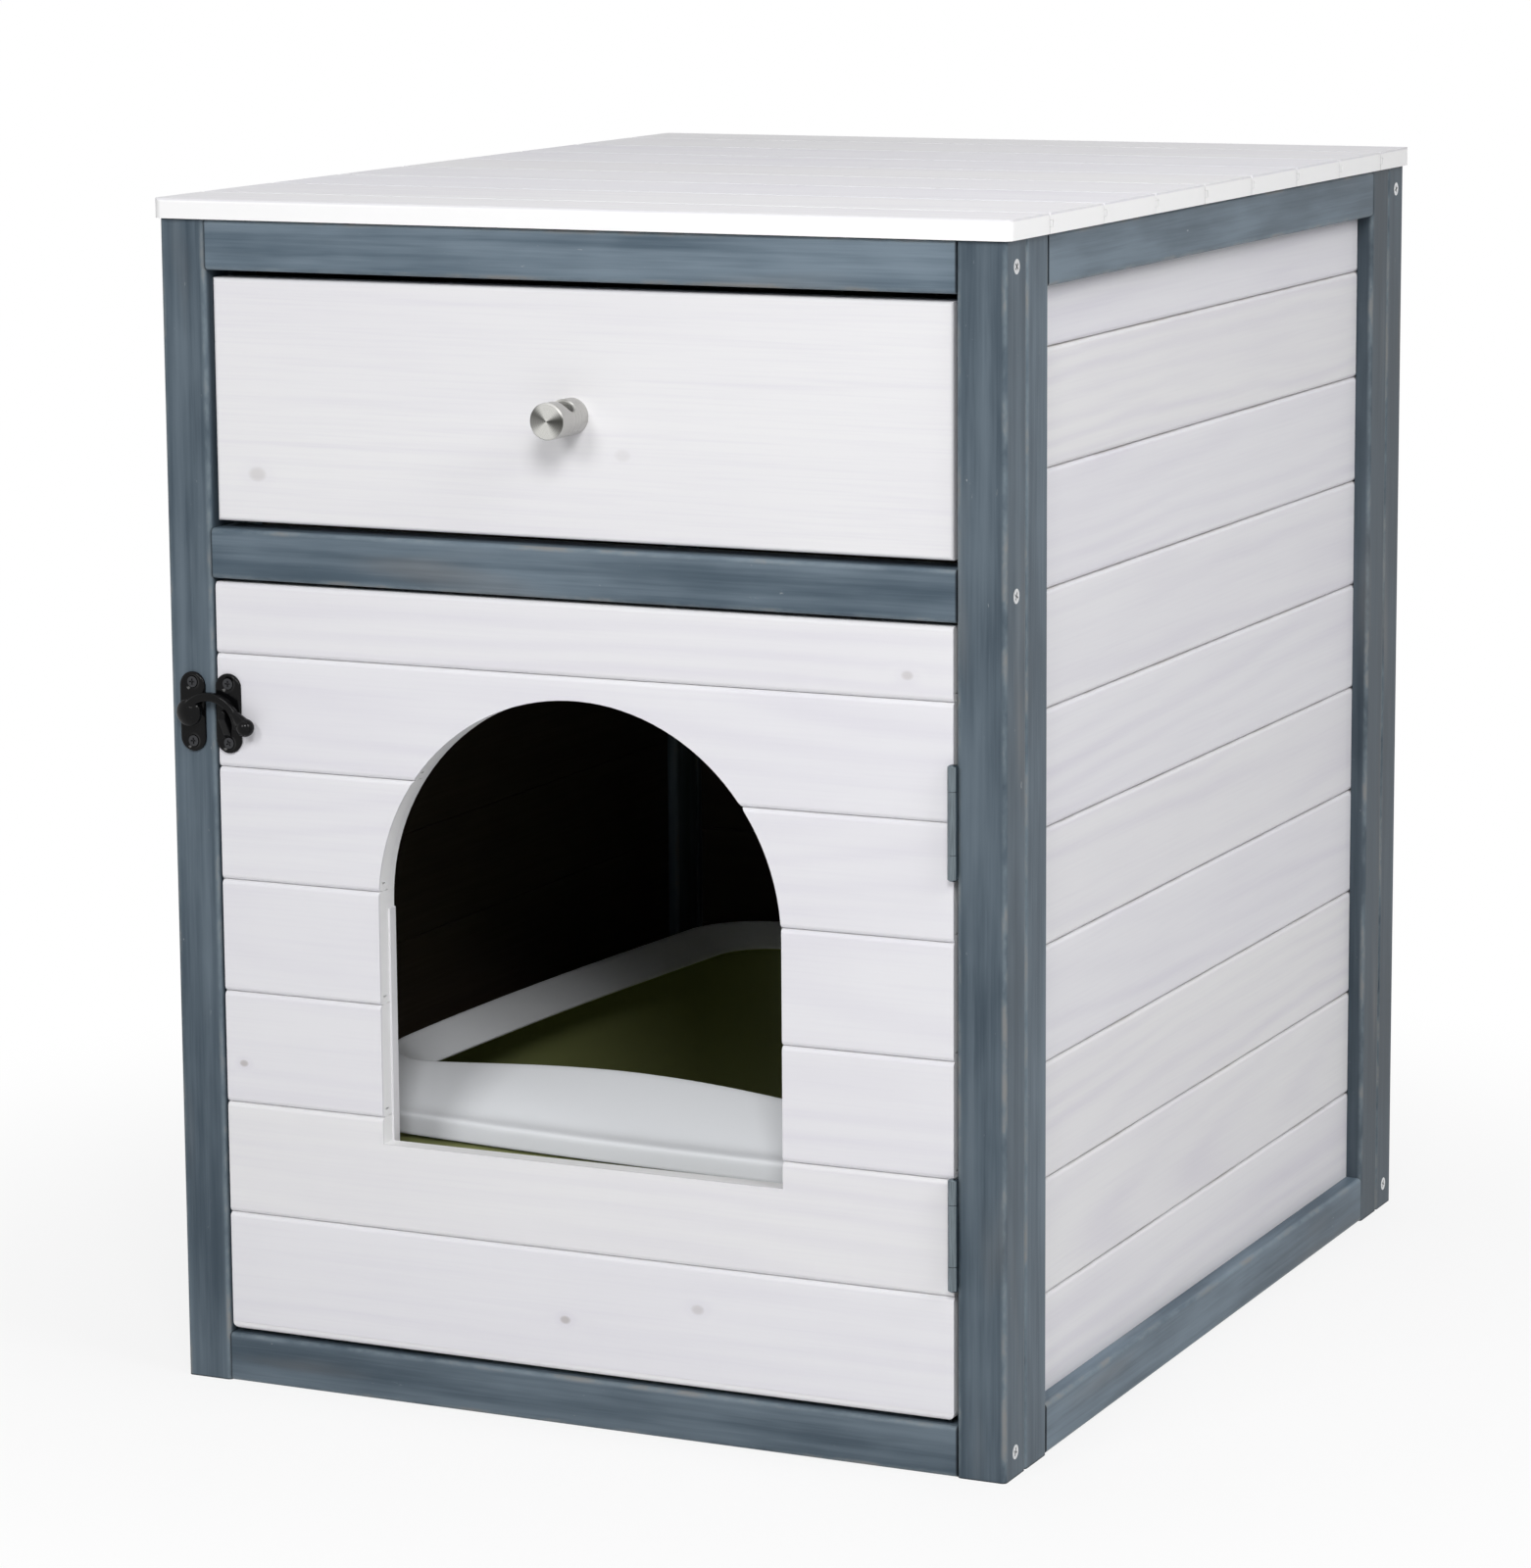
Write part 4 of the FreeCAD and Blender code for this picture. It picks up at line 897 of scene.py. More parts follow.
class ScrewMaker:
    """Countersunk screws with a cross recess, set out by Geometry Nodes."""

    REACH = 1.15  # length of the recess's arms, in head radii
    DEPTH = 0.7  # height of the recess's arms, half of them above the head, in head radii
    WIDTH = 0.24  # width of the recess's arms, in head radii
    POINT = 1.5  # length of the point, in shank radii
    HEAD_SIDES = 40
    SHANK_SIDES = 24
    SOCKETS = (("Head Radius", "NodeSocketFloat"), ("Shank Radius", "NodeSocketFloat"),
               ("Length", "NodeSocketFloat"), ("Recess Width", "NodeSocketFloat"),
               ("Turn Seed", "NodeSocketInt"), ("Finish", "NodeSocketMaterial"))

    def __init__(self) -> None:
        """Build the node tree that makes the screws."""
        self.tree = bpy.data.node_groups.new("cross_head_screws", "GeometryNodeTree")
        face = self.tree.interface
        face.new_socket("Spots", in_out="INPUT", socket_type="NodeSocketGeometry")
        self.keys = {name: face.new_socket(name, in_out="INPUT", socket_type=kind).identifier
                     for name, kind in self.SOCKETS}
        face.new_socket("Screws", in_out="OUTPUT", socket_type="NodeSocketGeometry")
        self.bench = NodeBench(self.tree)
        self._wire()

    def _sum(self, operation: str, first: object, second: object) -> object:
        """Return the result of one Math node."""
        return self.bench.node("ShaderNodeMath", {"operation": operation},
                               {0: first, 1: second})[0]

    def _moved(self, shape: object, height: object) -> object:
        """Return a shape moved along its own axis.

        Args:
            shape: The shape's output socket.
            height: How far it moves.

        Returns:
            The moved shape's output socket.
        """
        shift = self.bench.node("ShaderNodeCombineXYZ", {}, {2: height})[0]
        return self.bench.node("GeometryNodeTransform", {},
                               {"Geometry": shape, "Translation": shift})[0]

    def _wire(self) -> None:
        """Add the nodes: head, recess, shank and point, then one of each at every spot."""
        node = self.bench.node
        given = node("NodeGroupInput", {}, {})
        head, shank, length = (given[name] for name in ("Head Radius", "Shank Radius", "Length"))
        taper = self._sum("SUBTRACT", head, shank)
        cone = node("GeometryNodeMeshCone", {},
                    {"Vertices": self.HEAD_SIDES, "Radius Top": head, "Radius Bottom": shank,
                     "Depth": taper})
        cone = self._moved(cone["Mesh"], self._sum("MULTIPLY", taper, -1.0))
        reach = self._sum("MULTIPLY", head, self.REACH)
        deep = self._sum("MULTIPLY", head, self.DEPTH)
        arms = []
        for sizes in ((reach, given["Recess Width"]), (given["Recess Width"], reach)):
            size = node("ShaderNodeCombineXYZ", {}, {0: sizes[0], 1: sizes[1], 2: deep})[0]
            arms.append(node("GeometryNodeMeshCube", {}, {"Size": size})["Mesh"])
        cut = self.tree.nodes.new("GeometryNodeMeshBoolean")
        cut.operation = "DIFFERENCE"
        self.bench.feed(cut.inputs["Mesh 1"], cone)
        for arm in arms:
            self.bench.feed(cut.inputs["Mesh 2"], arm)
        point = self._sum("MULTIPLY", shank, self.POINT)
        straight = self._sum("SUBTRACT", self._sum("SUBTRACT", length, taper), point)
        rod = node("GeometryNodeMeshCone", {},
                   {"Vertices": self.SHANK_SIDES, "Radius Top": shank,
                    "Radius Bottom": shank, "Depth": straight})
        rod = self._moved(rod["Mesh"], self._sum("SUBTRACT", point, length))
        tip = node("GeometryNodeMeshCone", {},
                   {"Vertices": self.SHANK_SIDES, "Radius Top": shank,
                    "Radius Bottom": 0.0, "Depth": point})
        tip = self._moved(tip["Mesh"], self._sum("MULTIPLY", length, -1.0))
        whole = self.tree.nodes.new("GeometryNodeJoinGeometry")
        for piece in (cut.outputs[0], rod, tip):
            self.bench.feed(whole.inputs[0], piece)
        facing = node("GeometryNodeInputNamedAttribute", {"data_type": "FLOAT_VECTOR"},
                      {"Name": "facing"})[0]
        aim = node("FunctionNodeAlignRotationToVector", {"axis": "Z"}, {"Vector": facing})[0]
        set_out = node("GeometryNodeInstanceOnPoints", {},
                       {"Points": given["Spots"], "Instance": whole.outputs[0],
                        "Rotation": aim})[0]
        turn = node("FunctionNodeRandomValue", {"data_type": "FLOAT"},
                    {2: 0.0, 3: math.pi, "Seed": given["Turn Seed"]})[1]
        twist = node("ShaderNodeCombineXYZ", {}, {2: turn})[0]
        turned = node("GeometryNodeRotateInstances", {},
                      {"Instances": set_out, "Rotation": twist, "Local Space": True})[0]
        real = node("GeometryNodeRealizeInstances", {}, {0: turned})[0]
        dressed = node("GeometryNodeSetMaterial", {},
                       {"Geometry": real, "Material": given["Finish"]})[0]
        node("NodeGroupOutput", {}, {0: dressed})

    def make(self, name: str, spots: list[ScrewSpot], size: ScrewSize, seed: int,
             finish: bpy.types.Material) -> bpy.types.Object:
        """Return one plain mesh object of screws.

        Args:
            name: The object's name.
            spots: Where the screws go.
            size: Their sizes.
            seed: What their turns are drawn from.
            finish: Their material.

        Returns:
            The object, with its modifier applied and removed.
        """
        mesh = bpy.data.meshes.new(name)
        mesh.from_pydata([spot.place for spot in spots], [], [])
        facing = mesh.attributes.new("facing", "FLOAT_VECTOR", "POINT")
        for entry, spot in zip(facing.data, spots):
            entry.vector = spot.facing
        piece = add_object(name, mesh)
        modifier = piece.modifiers.new("screws", "NODES")
        modifier.node_group = self.tree
        for key, setting in (("Head Radius", size.head_radius),
                             ("Shank Radius", size.shank_radius), ("Length", size.length),
                             ("Recess Width", size.head_radius * self.WIDTH),
                             ("Turn Seed", seed), ("Finish", finish)):
            modifier[self.keys[key]] = setting
        return bake(piece)


def bake(piece: bpy.types.Object) -> bpy.types.Object:
    """Turn a piece's modifiers into plain mesh.

    Args:
        piece: The object with its modifiers.

    Returns:
        The same object with the finished mesh.
    """
    graph = bpy.context.evaluated_depsgraph_get()
    solid = bpy.data.meshes.new_from_object(piece.evaluated_get(graph))
    solid.name = piece.name
    piece.modifiers.clear()
    piece.data = solid
    return piece


def middle_of(node: str) -> Vector:
    """Return the middle of a node's box."""
    low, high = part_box(node)
    return (low + high) / 2


@dataclass
class Screws:
    """Every countersunk screw of the cabinet, in place of the plain ones.

    Attributes:
        sunk: How deep the heads of the latch's screws lie in their seats.
        hinge_spacing: The height from one screw of a hinge to the next.
        hinge_lines: How far in from the door's face the outer and the middle screws are.
    """

    timber: ScrewSize = ScrewSize(0.0040, 0.0020, 0.070)
    runner: ScrewSize = ScrewSize(0.0036, 0.0020, 0.026)
    small: ScrewSize = ScrewSize(0.0031, 0.0015, 0.0125)
    hinge: ScrewSize = ScrewSize(0.0025, 0.0013, 0.0125)
    sunk: float = 0.0
    hinge_spacing: float = 0.0215
    hinge_lines: tuple[float, float] = (0.0055, 0.0080)

    def build(self, zinc: bpy.types.Material, black: bpy.types.Material) -> None:
        """Make each group of screws and set it in place of its node.

        Args:
            zinc: The finish of the plain screws.
            black: The finish of the latch's screws.
        """
        maker = ScrewMaker()
        groups = (("frame_screws", self._frame_spots(), self.timber, zinc, "cabinet"),
                  ("runner_screws", self._runner_spots(), self.runner, zinc, "cabinet"),
                  ("latch_plate_screws", self.plate_spots("latch_plate_screws", self.sunk),
                   self.small, black, "cabinet"),
                  ("latch_catch_screws", self.plate_spots("latch_catch_screws", self.sunk),
                   self.small, black, "door"),
                  ("hinge_frame_screws", self._hinge_spots("frame", -1), self.hinge, zinc,
                   "cabinet"),
                  ("hinge_door_screws", self._hinge_spots("door", 1), self.hinge, zinc, "door"))
        for seed, (node, spots, size, finish, body) in enumerate(groups):
            piece = maker.make(node + "_cross_head", spots, size, seed + 3, finish)
            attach(piece, body)
            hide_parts(node)
            LOG.info("%s: %d screws on %s", piece.name, len(spots), body)

    @staticmethod
    def _frame_spots() -> list[ScrewSpot]:
        """Find the heads on the outer faces of the stiles, level with each rail.

        Returns:
            The spots.
        """
        spots = []
        rails = {"front": ("bottom", "middle", "top"), "back": ("bottom", "top")}
        for end, levels in rails.items():
            for side, sign in (("left", -1), ("right", 1)):
                low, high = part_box(f"{end}_{side}_stile")
                for level in levels:
                    place = Vector((high.x if sign > 0 else low.x, (low.y + high.y) / 2,
                                    middle_of(f"{end}_{level}_rail").z))
                    spots.append(ScrewSpot(place, Vector((sign, 0, 0))))
        return spots

    @staticmethod
    def _runner_spots() -> list[ScrewSpot]:
        """Find the heads on the inner faces of the drawer runners, at each post.

        Returns:
            The spots.
        """
        spots = []
        for side, sign in (("left", -1), ("right", 1)):
            low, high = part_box(f"{side}_drawer_runner")
            for post in ("front", "rear"):
                place = Vector((low.x if sign > 0 else high.x,
                                middle_of(f"{side}_{post}_post").y, (low.z + high.z) / 2))
                spots.append(ScrewSpot(place, Vector((-sign, 0, 0))))
        return spots

    @staticmethod
    def plate_spots(node: str, sunk: float = 0.0) -> list[ScrewSpot]:
        """Return the two heads on a latch plate.

        Args:
            node: The node of the two screws.
            sunk: How deep the heads lie behind the plate's face.

        Returns:
            The spots.
        """
        low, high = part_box(node)
        reach = (high.x - low.x) / 2
        return [ScrewSpot(Vector(((low.x + high.x) / 2, low.y + sunk, height)),
                          Vector((0, -1, 0))) for height in (low.z + reach, high.z - reach)]

    def _hinge_spots(self, leaf: str, facing: int) -> list[ScrewSpot]:
        """Return the three heads on a leaf of both hinges.

        Args:
            leaf: Which leaf, frame or door.
            facing: The sign of the heads' direction along X.

        Returns:
            The spots.
        """
        spots = []
        for level in ("upper", "lower"):
            low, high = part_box(f"{level}_hinge_{leaf}_leaf")
            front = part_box("door_boards")[0].y
            face_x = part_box(f"hinge_{leaf}_screws")[0 if facing < 0 else 1].x
            for step in (-1, 0, 1):
                line = self.hinge_lines[0 if step else 1]
                place = Vector((face_x, front + line,
                                (low.z + high.z) / 2 + step * self.hinge_spacing))
                spots.append(ScrewSpot(place, Vector((facing, 0, 0))))
        return spots


@dataclass(frozen=True)
class Casting:
    """A black casting of the latch.

    Attributes:
        node: The node that it replaces.
        body: The body that it rides on.
        neck: The thin and thick ends of a neck, each a place and a radius, if it has one.
        seats: The node of the screws that sit in dished seats, if it has any.
    """

    node: str
    body: str
    neck: tuple[Vector, float, Vector, float] | None = None
    seats: str = ""


@dataclass
class Fittings:
    """The hinges, latch, knob and screws.

    Attributes:
        voxel: The cells in which a casting gets its one skin.
        rounds: How many times its corners are smoothed.
        seat_radius: The radius of a screw's dished seat.
        seat_depth: The depth of the seat.
        seat_slope: How steeply the seat goes down, in depths to the radius.
        seat_share: How far the head lies down in the seat, as a share of its depth.
    """

    hinges: tuple[str, ...] = (
        "upper_hinge_frame_leaf", "lower_hinge_frame_leaf", "upper_hinge_door_leaf",
        "lower_hinge_door_leaf", "upper_hinge_pin", "lower_hinge_pin")
    castings: tuple[Casting, ...] = (
        Casting("latch_plate", "cabinet", seats="latch_plate_screws"),
        Casting("latch_arm", "latch", neck=(Vector((-0.2098, -0.3167, 0.3880)), 0.0019,
                                            Vector((-0.2013, -0.3172, 0.3799)), 0.0046)),
        Casting("latch_catch", "door", seats="latch_catch_screws"))
    voxel: float = 0.00035
    rounds: int = 6
    seat_radius: float = 0.0050
    seat_depth: float = 0.0009
    seat_slope: float = 2.6
    seat_share: float = 0.6

    def dress(self) -> None:
        """Give each fitting its metal, and its rounded or detailed form."""
        nickel = BareMetal("hinge_plate", (0.215, 0.258, 0.285), 0.22, contrast=0.40).build()
        enamel = BlackEnamel("black_enamel").build()
        zinc = BareMetal("zinc_plate", (0.66, 0.67, 0.68), 0.32).build()
        blacked = BareMetal("blacked_steel", (0.055, 0.056, 0.060), 0.34).build()
        knob_low, knob_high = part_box("drawer_knob")
        middle = (knob_low + knob_high) / 2
        turned = TurnedSteel("turned_steel", middle.x, middle.z, knob_low.y,
                             (knob_high.x - knob_low.x) / 2).build()
        for node in self.hinges:
            dress(node, nickel)
        dress("knob_screw", zinc)
        dress("latch_pin", enamel)
        dress("drawer_knob", turned)
        for casting in self.castings:
            self._cast(casting, enamel)
        Screws(sunk=self.seat_depth * self.seat_share).build(zinc, blacked)

    def _cast(self, casting: Casting, finish: bpy.types.Material) -> None:
        """Replace a node by a casting of the same form, with its corners run together.

        Args:
            casting: What is cast.
            finish: Its material.
        """
        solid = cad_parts[casting.node]
        metal = bmesh.new()
        metal.from_mesh(solid.data)
        metal.transform(solid.matrix_world)
        bmesh.ops.remove_doubles(metal, verts=metal.verts, dist=0.00001)
        if casting.neck is not None:
            self._add_neck(metal, *casting.neck)
        mesh = bpy.data.meshes.new(casting.node + "_cast")
        metal.to_mesh(mesh)
        metal.free()
        mesh.materials.append(finish)
        piece = add_object(mesh.name, mesh)
        remesh = piece.modifiers.new("one_skin", "REMESH")
        remesh.mode = "VOXEL"
        remesh.voxel_size = self.voxel
        remesh.use_smooth_shade = True
        smooth = piece.modifiers.new("run_together", "SMOOTH")
        smooth.factor = 0.5
        smooth.iterations = self.rounds
        bake(piece)
        if casting.seats:
            self._dish(piece.data, casting.seats)
        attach(piece, casting.body)
        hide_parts(casting.node)
        LOG.info("%s: %d faces on %s", piece.name, len(piece.data.polygons), casting.body)

    @staticmethod
    def _add_neck(metal: bmesh.types.BMesh, start: Vector, start_radius: float, end: Vector,
                  end_radius: float) -> None:
        """Add a tapered neck between two places, for the remesh to run into its neighbours.

        Args:
            metal: The mesh that gets the neck.
            start: The middle of its thin end.
            start_radius: The radius there.
            end: The middle of its thick end.
            end_radius: The radius there.
        """
        run = end - start
        turn = run.to_track_quat("Z", "Y").to_matrix().to_4x4()
        aim = Matrix.Translation((start + end) / 2) @ turn
        bmesh.ops.create_cone(metal, cap_ends=True, segments=24, radius1=start_radius,
                              radius2=end_radius, depth=run.length, matrix=aim)

    def _dish(self, mesh: bpy.types.Mesh, screws: str) -> None:
        """Sink a round seat for each of two screws into the front of a plate.

        Args:
            mesh: The plate's mesh.
            screws: The node of the two screws.
        """
        for spot in Screws.plate_spots(screws):
            for vertex in mesh.vertices:
                away = math.hypot(vertex.co.x - spot.place.x, vertex.co.z - spot.place.z)
                if away < self.seat_radius and vertex.co.y < spot.place.y + 2 * self.seat_depth:
                    share = 1 - away / self.seat_radius
                    vertex.co.y += self.seat_depth * min(1.0, self.seat_slope * share)


@dataclass(frozen=True)
class Row:
    """One outline of the tray, in millimetres drawn in from its rim's skirt.

    Attributes:
        side: How far the long sides are drawn in.
        end: How far the ends are drawn in.
        bow: How far the middle of each end stands out.
        height: The height above the floor.
        arch: How much higher the middle of the front is.
    """

    side: float
    end: float
    bow: float
    height: float
    arch: float = 0.0


@dataclass
class LitterTray:
    """The loose tray and its clip-on rim, each one smooth moulded shell.

    Lengths are in millimetres, apart from the middle.

    Attributes:
        corner: The radius of the rim's corners.
        side_bow: How far the middle of each long side stands out.
        turn: How far the tray stands turned in the cabinet.
        ledge: The height of the rim's ledge, above its skirt.
        crest: The height of the rim's crest.
        arch: How much higher the crest is at the middle of the front.
        arch_fall: How much lower it is at the front corners, as a share of the arch.
        flatness: How flat the rim's face is between its ledge and its crest.
        face_steps: How many rows make the face.
        face_run: How far the face goes in at the sides and the ends, and how much its bow shrinks.
        floor_rings: The sizes of the rings that fill the tray's bottom.
    """

    half_width: float = 203.0
    half_length: float = 262.0
    corner: float = 82.0
    side_bow: float = 4.0
    middle: Vector = field(default_factory=lambda: Vector((0.0, 0.0075, 0.0)))
    turn: float = math.radians(-4.0)
    corner_steps: int = 14
    side_steps: int = 12
    rim_wall: float = 2.2
    tray_wall: float = 2.5
    ledge: float = 150.0
    crest: float = 170.0
    arch: float = 5.5
    arch_fall: float = 0.55
    flatness: float = 0.80
    face_steps: int = 9
    face_run: tuple[float, float, float] = (13.0, 33.0, 11.0)
    floor_rings: tuple[float, float] = (0.7, 0.4)

    def dress(self) -> None:
        """Make both shells in their plastics."""
        olive = MouldedPlastic("olive_plastic", (0.300, 0.325, 0.130), 0.45)
        pale = MouldedPlastic("pale_blue_plastic", (0.94, 0.96, 0.99), 0.30)
        base = self._shell("litter_tray", self._base_rows(), self.tray_wall, True, olive.build())
        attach(base, "tray")
        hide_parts("tray_base")
        rim = self._shell("litter_tray_rim", self._rim_rows(), self.rim_wall, False, pale.build())
        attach(rim, "rim")
        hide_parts("tray_rim")

    def _base_rows(self) -> list[Row]:
        """List the skin of the tray, from the lip of its flange over it and down inside.

        Returns:
            The rows.
        """
        rows = [Row(2.9, 2.9, 6.0, 128.0), Row(2.8, 2.8, 6.0, 129.0), Row(2.6, 2.6, 6.0, 146.0),
                Row(2.8, 2.8, 6.0, 147.3), Row(3.6, 3.6, 6.0, 147.8), Row(12.6, 12.6, 5.1, 147.8),
                Row(13.8, 13.8, 5.0, 147.2), Row(14.5, 14.5, 5.0, 145.5)]
        for step in range(1, 6):
            share = step / 6
            rows.append(Row(14.5 + 19.0 * share, 14.5 + 19.0 * share, 5.0 - share,
                            145.5 - 105.0 * share))
        rows += [Row(33.5, 33.5, 4.0, 40.5), Row(34.6, 34.6, 4.0, 37.0),
                 Row(38.6, 38.6, 4.0, 31.8), Row(41.5, 41.5, 4.0, 30.5),
                 Row(46.0, 46.0, 4.0, 30.5)]
        return rows

    def _rim_rows(self) -> list[Row]:
        """List the outer skin of the rim, from its skirt over the crest to its inner lip.

        Returns:
            The rows.
        """
        rows = [Row(0.0, 0.0, 6.0, 137.5), Row(0.1, 0.1, 6.0, 138.4), Row(0.4, 0.4, 6.0, 146.8),
                Row(0.9, 0.9, 6.0, 148.8), Row(2.2, 2.2, 6.0, 149.8), Row(3.6, 5.0, 5.2, 150.4),
                Row(4.6, 9.0, 4.2, 151.0)]
        base = self.ledge + 1.0
        rise = self.crest - base
        side, end, bow = self.face_run
        for step in range(1, self.face_steps + 1):
            angle = math.radians(8.0 + 9.0 * step)
            straight = step / self.face_steps
            inwards = 1 - math.cos(angle)
            upwards = math.sin(angle)
            inwards += (straight - inwards) * self.flatness
            upwards += (straight - upwards) * self.flatness
            rows.append(Row(5.0 + side * inwards, 10.0 + end * inwards, 4.0 - bow * inwards,
                            base + rise * upwards, self.arch * upwards))
        full = self.arch
        rows += [Row(19.4, 44.4, -7.0, self.crest + 0.1, full),
                 Row(20.9, 45.8, -7.0, self.crest - 0.5, full),
                 Row(22.4, 46.9, -7.0, self.crest - 1.9, full * 0.9),
                 Row(29.5, 51.0, -7.0, self.crest - 7.6, full * 0.5),
                 Row(36.9, 55.3, -7.0, 156.0, 0.0), Row(38.0, 56.0, -7.0, 155.0, 0.0)]
        return rows

    def _outline(self, row: Row) -> list[Vector]:
        """Return the points of one outline, in metres, in place.

        Args:
            row: The outline's sizes.

        Returns:
            The points, anticlockwise from above.
        """
        half_x = self.half_width - row.side
        half_y = self.half_length - row.end
        corner = self.corner - (row.side + row.end) / 2
        flat: list[tuple[float, float]] = []
        for quarter, (sign_x, sign_y) in enumerate(((1, -1), (1, 1), (-1, 1), (-1, -1))):
            for step in range(self.corner_steps + 1):
                angle = math.pi / 2 * (quarter - 1 + step / self.corner_steps)
                flat.append((sign_x * (half_x - corner) + corner * math.cos(angle),
                             sign_y * (half_y - corner) + corner * math.sin(angle)))
            next_x, next_y = ((1, 1), (-1, 1), (-1, -1), (1, -1))[quarter]
            along_side = quarter % 2 == 0
            end = (next_x * half_x, next_y * (half_y - corner)) if along_side else (
                next_x * (half_x - corner), next_y * half_y)
            start = flat[-1]
            for step in range(1, self.side_steps):
                share = step / self.side_steps
                flat.append((start[0] + (end[0] - start[0]) * share,
                             start[1] + (end[1] - start[1]) * share))
        turned = Matrix.Translation(self.middle) @ Matrix.Rotation(self.turn, 4, "Z")
        points = []
        for x, y in flat:
            near_end = max(0.0, 1 - (x / half_x) ** 2) ** 2
            near_side = max(0.0, 1 - (y / half_y) ** 2) ** 2
            height = row.height
            if y < 0:
                fall = self.arch_fall * (1 - near_end) * (y / half_y) ** 4
                height += row.arch * (near_end - fall)
            points.append(turned @ (Vector((x + self.side_bow * near_side * x / half_x,
                                            y + row.bow * near_end * y / half_y,
                                            height)) * MM))
        return points

    def _shell(self, name: str, rows: list[Row], wall: float, has_bottom: bool,
               finish: bpy.types.Material) -> bpy.types.Object:
        """Return a smooth shell whose shown skin goes through the rows.

        Args:
            name: The object's name.
            rows: Its outlines, in order.
            wall: Its thickness, in millimetres, behind the skin.
            has_bottom: Whether the last outline is filled.
            finish: Its material.

        Returns:
            The object.
        """
        shell = bmesh.new()
        rings = [[shell.verts.new(point) for point in self._outline(row)] for row in rows]
        if has_bottom:
            middle = sum((vert.co for vert in rings[-1]), Vector()) / len(rings[-1])
            for scale in self.floor_rings:
                rings.append([shell.verts.new(middle.lerp(vert.co, scale)) for vert in rings[-1]])
        for outer, inner in zip(rings, rings[1:]):
            for index in range(len(outer)):
                after = (index + 1) % len(outer)
                shell.faces.new((outer[index], outer[after], inner[after], inner[index]))
        if has_bottom:
            centre = shell.verts.new(middle)
            for first, second in zip(rings[-1], rings[-1][1:] + rings[-1][:1]):
                shell.faces.new((first, second, centre))
        mesh = bpy.data.meshes.new(name)
        shell.to_mesh(mesh)
        shell.free()
        mesh.shade_smooth()
        mesh.materials.append(finish)
        piece = add_object(name, mesh)
        solid = piece.modifiers.new("wall", "SOLIDIFY")
        solid.thickness = wall * MM
        solid.offset = -1.0
        finer = piece.modifiers.new("finer", "SUBSURF")
        finer.levels = 1
        finer.render_levels = 1
        LOG.info("%s: %d rows", name, len(rows))
        return bake(piece)


# ---- Studio -------------------------------------------------------------------------------


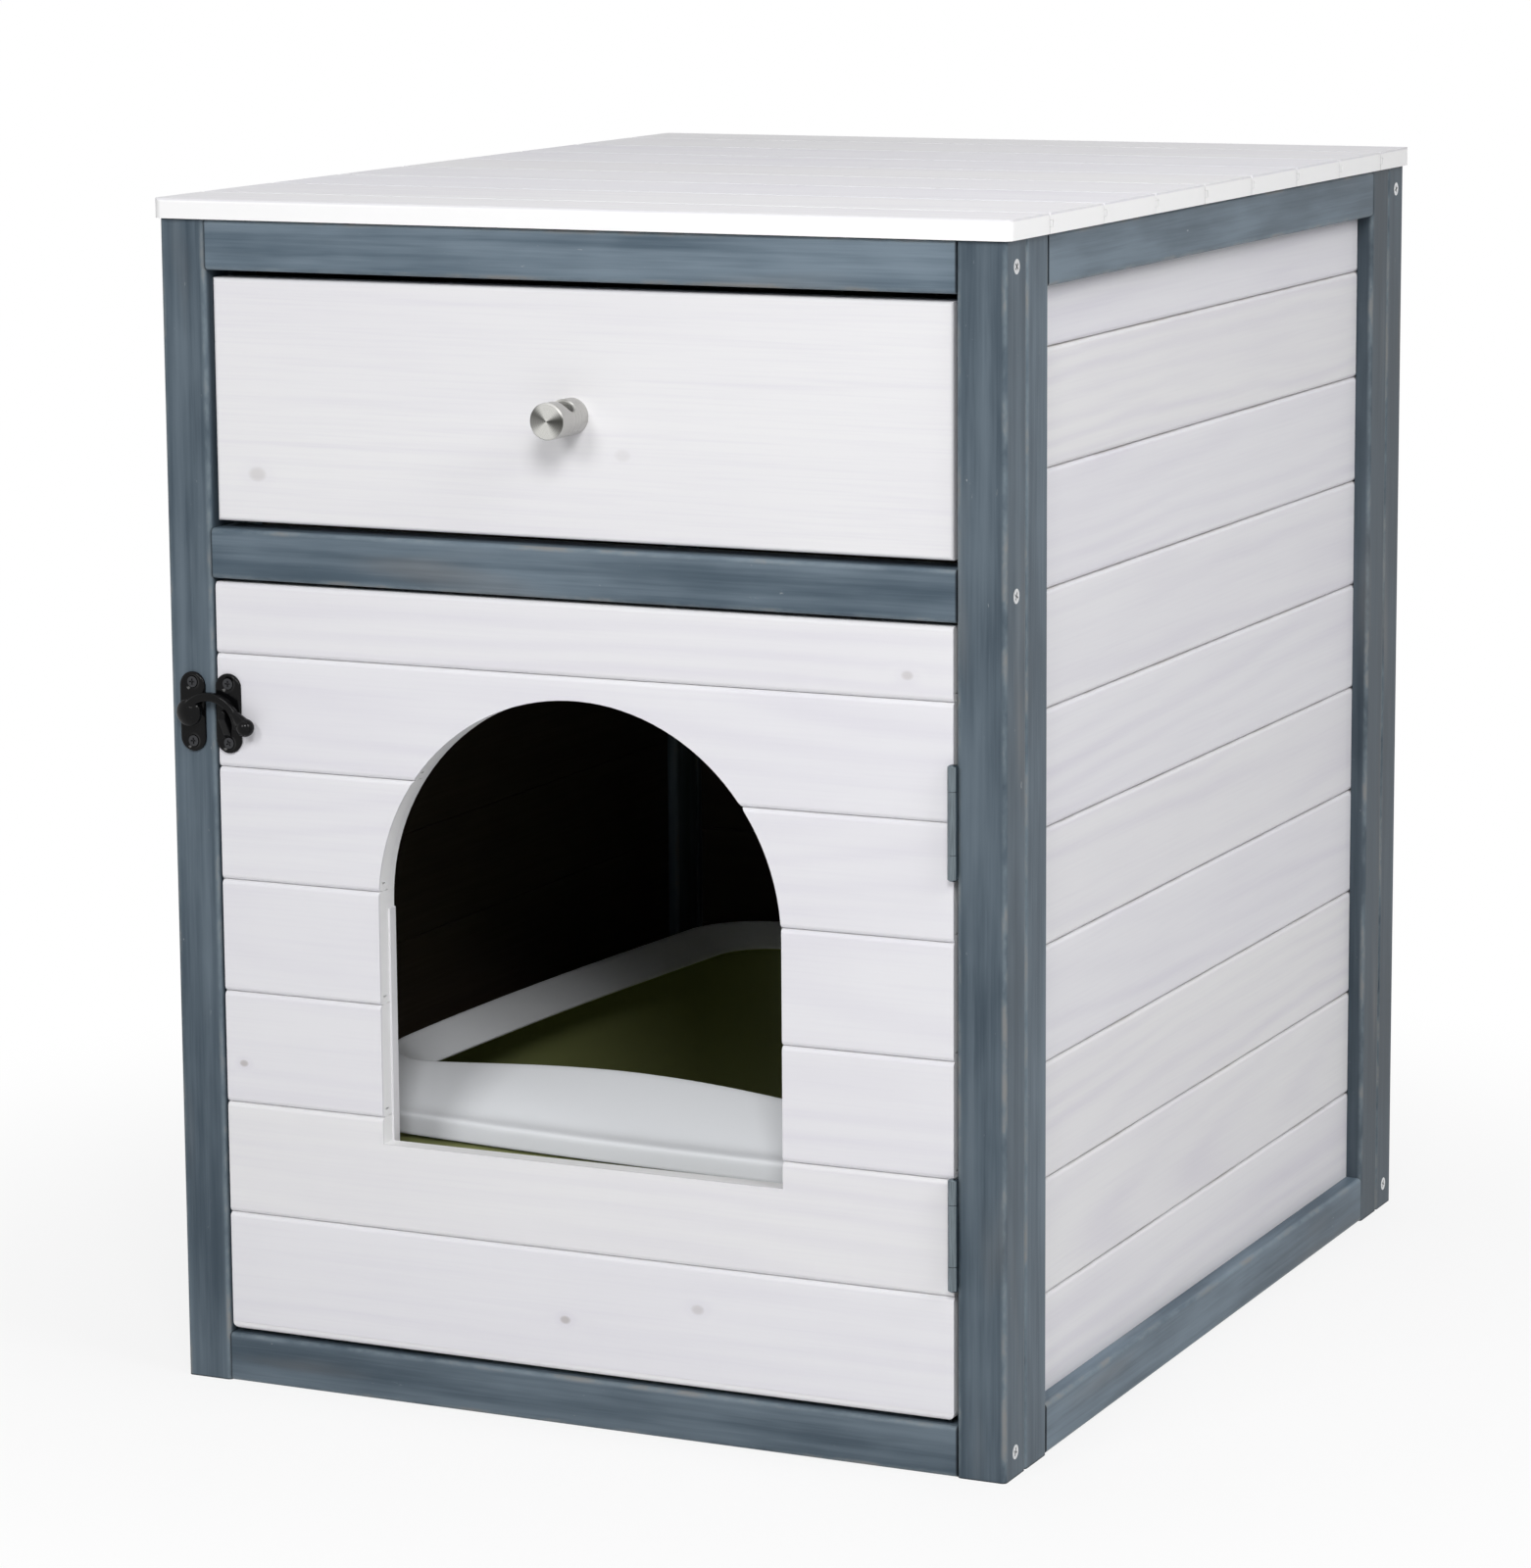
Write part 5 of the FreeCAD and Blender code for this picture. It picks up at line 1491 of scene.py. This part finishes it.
@dataclass
class Studio:
    """The floor, the lamps, the surroundings and the camera.

    Attributes:
        shadow_reach: From where to where the floor goes over to plain white.
        fill_light: How bright the surroundings are to the cabinet's dull faces.
        white_rays: The rays that see the surroundings and the far floor as white.
        lamps: The name, place, edge and power of each lamp.
    """

    camera_place: Vector = field(default_factory=lambda: Vector((1.2825, -2.8153, 0.8703)))
    yaw: float = math.radians(25.435)
    pitch: float = math.radians(9.67)
    roll: float = math.radians(0.469)
    lens: float = 121.48
    shift: tuple[float, float] = (0.0251, -0.0361)
    floor_size: float = 14.0
    shadow_reach: tuple[float, float] = (0.30, 0.90)
    fill_light: float = 0.12
    white_rays: tuple[str, str, str] = ("Is Camera Ray", "Is Glossy Ray", "Is Transmission Ray")
    lamp_aim: Place = (0.0, 0.0, 0.33)
    lamps: tuple[tuple[str, Place, float, float], ...] = (
        ("key_lamp", (1.0, -2.3, 2.0), 0.8, 36.0),
        ("left_lamp", (-0.45, -2.6, 1.7), 0.8, 19.5),
        ("side_lamp", (2.4, -0.7, 2.1), 1.4, 39.0),
        ("top_lamp", (0.0, 0.5, 3.4), 2.6, 20.0))

    def build(self) -> None:
        """Set up everything round the cabinet."""
        self._camera()
        self._floor()
        self._world()
        for lamp in self.lamps:
            self._lamp(*lamp)
        bpy.context.scene.view_settings.view_transform = "Standard"

    def _camera(self) -> None:
        """Put the camera where the photograph was taken from."""
        right = Vector((math.cos(self.yaw), math.sin(self.yaw), 0.0))
        level = Vector((-math.sin(self.yaw), math.cos(self.yaw), 0.0))
        forward = level * math.cos(self.pitch) - Vector((0, 0, 1)) * math.sin(self.pitch)
        down = forward.cross(right)
        turned_right = right * math.cos(self.roll) + down * math.sin(self.roll)
        turned_down = down * math.cos(self.roll) - right * math.sin(self.roll)
        lens = bpy.data.cameras.new("camera")
        lens.lens = self.lens
        lens.sensor_width = 36.0
        lens.shift_x, lens.shift_y = self.shift
        lens.clip_end = 50.0
        camera = add_object("camera", lens)
        basis = Matrix((turned_right, -turned_down, -forward)).transposed().to_4x4()
        camera.matrix_world = Matrix.Translation(self.camera_place) @ basis
        bpy.context.scene.camera = camera

    def _floor(self) -> None:
        """Lay a plain pale floor that looks white to the camera and keeps its shadow."""
        half = self.floor_size / 2
        mesh = bpy.data.meshes.new("studio_floor")
        corners = [(-half, -half, 0), (half, -half, 0), (half, half, 0), (-half, half, 0)]
        mesh.from_pydata(corners, [], [(0, 1, 2, 3)])
        mesh.materials.append(self._floor_finish())
        floor = add_object("studio_floor", mesh)

    def _floor_finish(self) -> bpy.types.Material:
        """Make a pale floor that the camera sees as white, apart from the shadow near by.

        Returns:
            The material.
        """
        graph = Graph("studio_floor")
        x = graph.place(Axis.X)
        y = graph.place(Axis.Y)
        speck = graph.noise(graph.vector(x, y, 0.0), 3.0, 1.0)
        colour = graph.mix(speck * 0.05, (0.72, 0.72, 0.72), (0.68, 0.68, 0.68))
        graph.feed(graph.shader.inputs["Base Color"], colour)
        graph.feed(graph.shader.inputs["Roughness"], 0.7)
        near, far = self.shadow_reach
        away = ((x * x + y * y) ** 0.5).ramp(near, far, 0.82, 1.0)
        path = graph.node("ShaderNodeLightPath", {}, {})
        camera, gloss, through = [Value(graph, path[name]) for name in self.white_rays]
        seen = camera.most(gloss).most(through)
        white = graph.node("ShaderNodeEmission", {}, {"Strength": 1.0})[0]
        blend = graph.tree.nodes.new("ShaderNodeMixShader")
        graph.feed(blend.inputs[0], away * seen)
        graph.feed(blend.inputs[1], graph.shader.outputs[0])
        graph.feed(blend.inputs[2], white)
        out = graph.tree.nodes["Material Output"]
        graph.feed(out.inputs["Surface"], blend.outputs[0])
        return graph.material

    def _world(self) -> None:
        """Light the cabinet evenly, and show white behind it."""
        world = bpy.data.worlds.new("surroundings")
        world.use_nodes = True
        world.node_tree.nodes.clear()
        bench = NodeBench(world.node_tree)
        path = bench.node("ShaderNodeLightPath", {}, {})
        camera, gloss, through = [path[name] for name in self.white_rays]
        shiny = bench.node("ShaderNodeMath", {"operation": "MAXIMUM"}, {0: gloss, 1: through})[0]
        seen = bench.node("ShaderNodeMath", {"operation": "MAXIMUM"}, {0: camera, 1: shiny})[0]
        dim = bench.node("ShaderNodeBackground", {},
                         {"Color": (0.96, 0.98, 1.0), "Strength": self.fill_light})[0]
        white = bench.node("ShaderNodeBackground", {},
                           {"Color": (1.0, 1.0, 1.0), "Strength": 1.0})[0]
        blend = bench.node("ShaderNodeMixShader", {}, {0: seen, 1: dim, 2: white})[0]
        bench.node("ShaderNodeOutputWorld", {}, {0: blend})
        bpy.context.scene.world = world

    def _lamp(self, name: str, place: Place, size: float, power: float) -> None:
        """Hang one soft square lamp, aimed at the middle of the cabinet.

        Args:
            name: The lamp's name.
            place: Where it hangs.
            size: The length of its edge.
            power: Its power in watts.
        """
        light = bpy.data.lights.new(name, "AREA")
        light.shape = "SQUARE"
        light.size = size
        light.energy = power
        lamp = add_object(name, light)
        lamp.location = place
        aim = Vector(self.lamp_aim) - Vector(place)
        lamp.rotation_euler = aim.to_track_quat("-Z", "Y").to_euler()


def main() -> None:
    """Build the studio and dress every piece in order."""
    logging.basicConfig(level=logging.INFO, format="%(name)s: %(message)s")
    Studio().build()
    for part in (TimberFrame(), Boarding(), Fittings(), LitterTray()):
        part.dress()
        LOG.info("%s done", type(part).__name__)


if __name__ == "__main__":
    main()
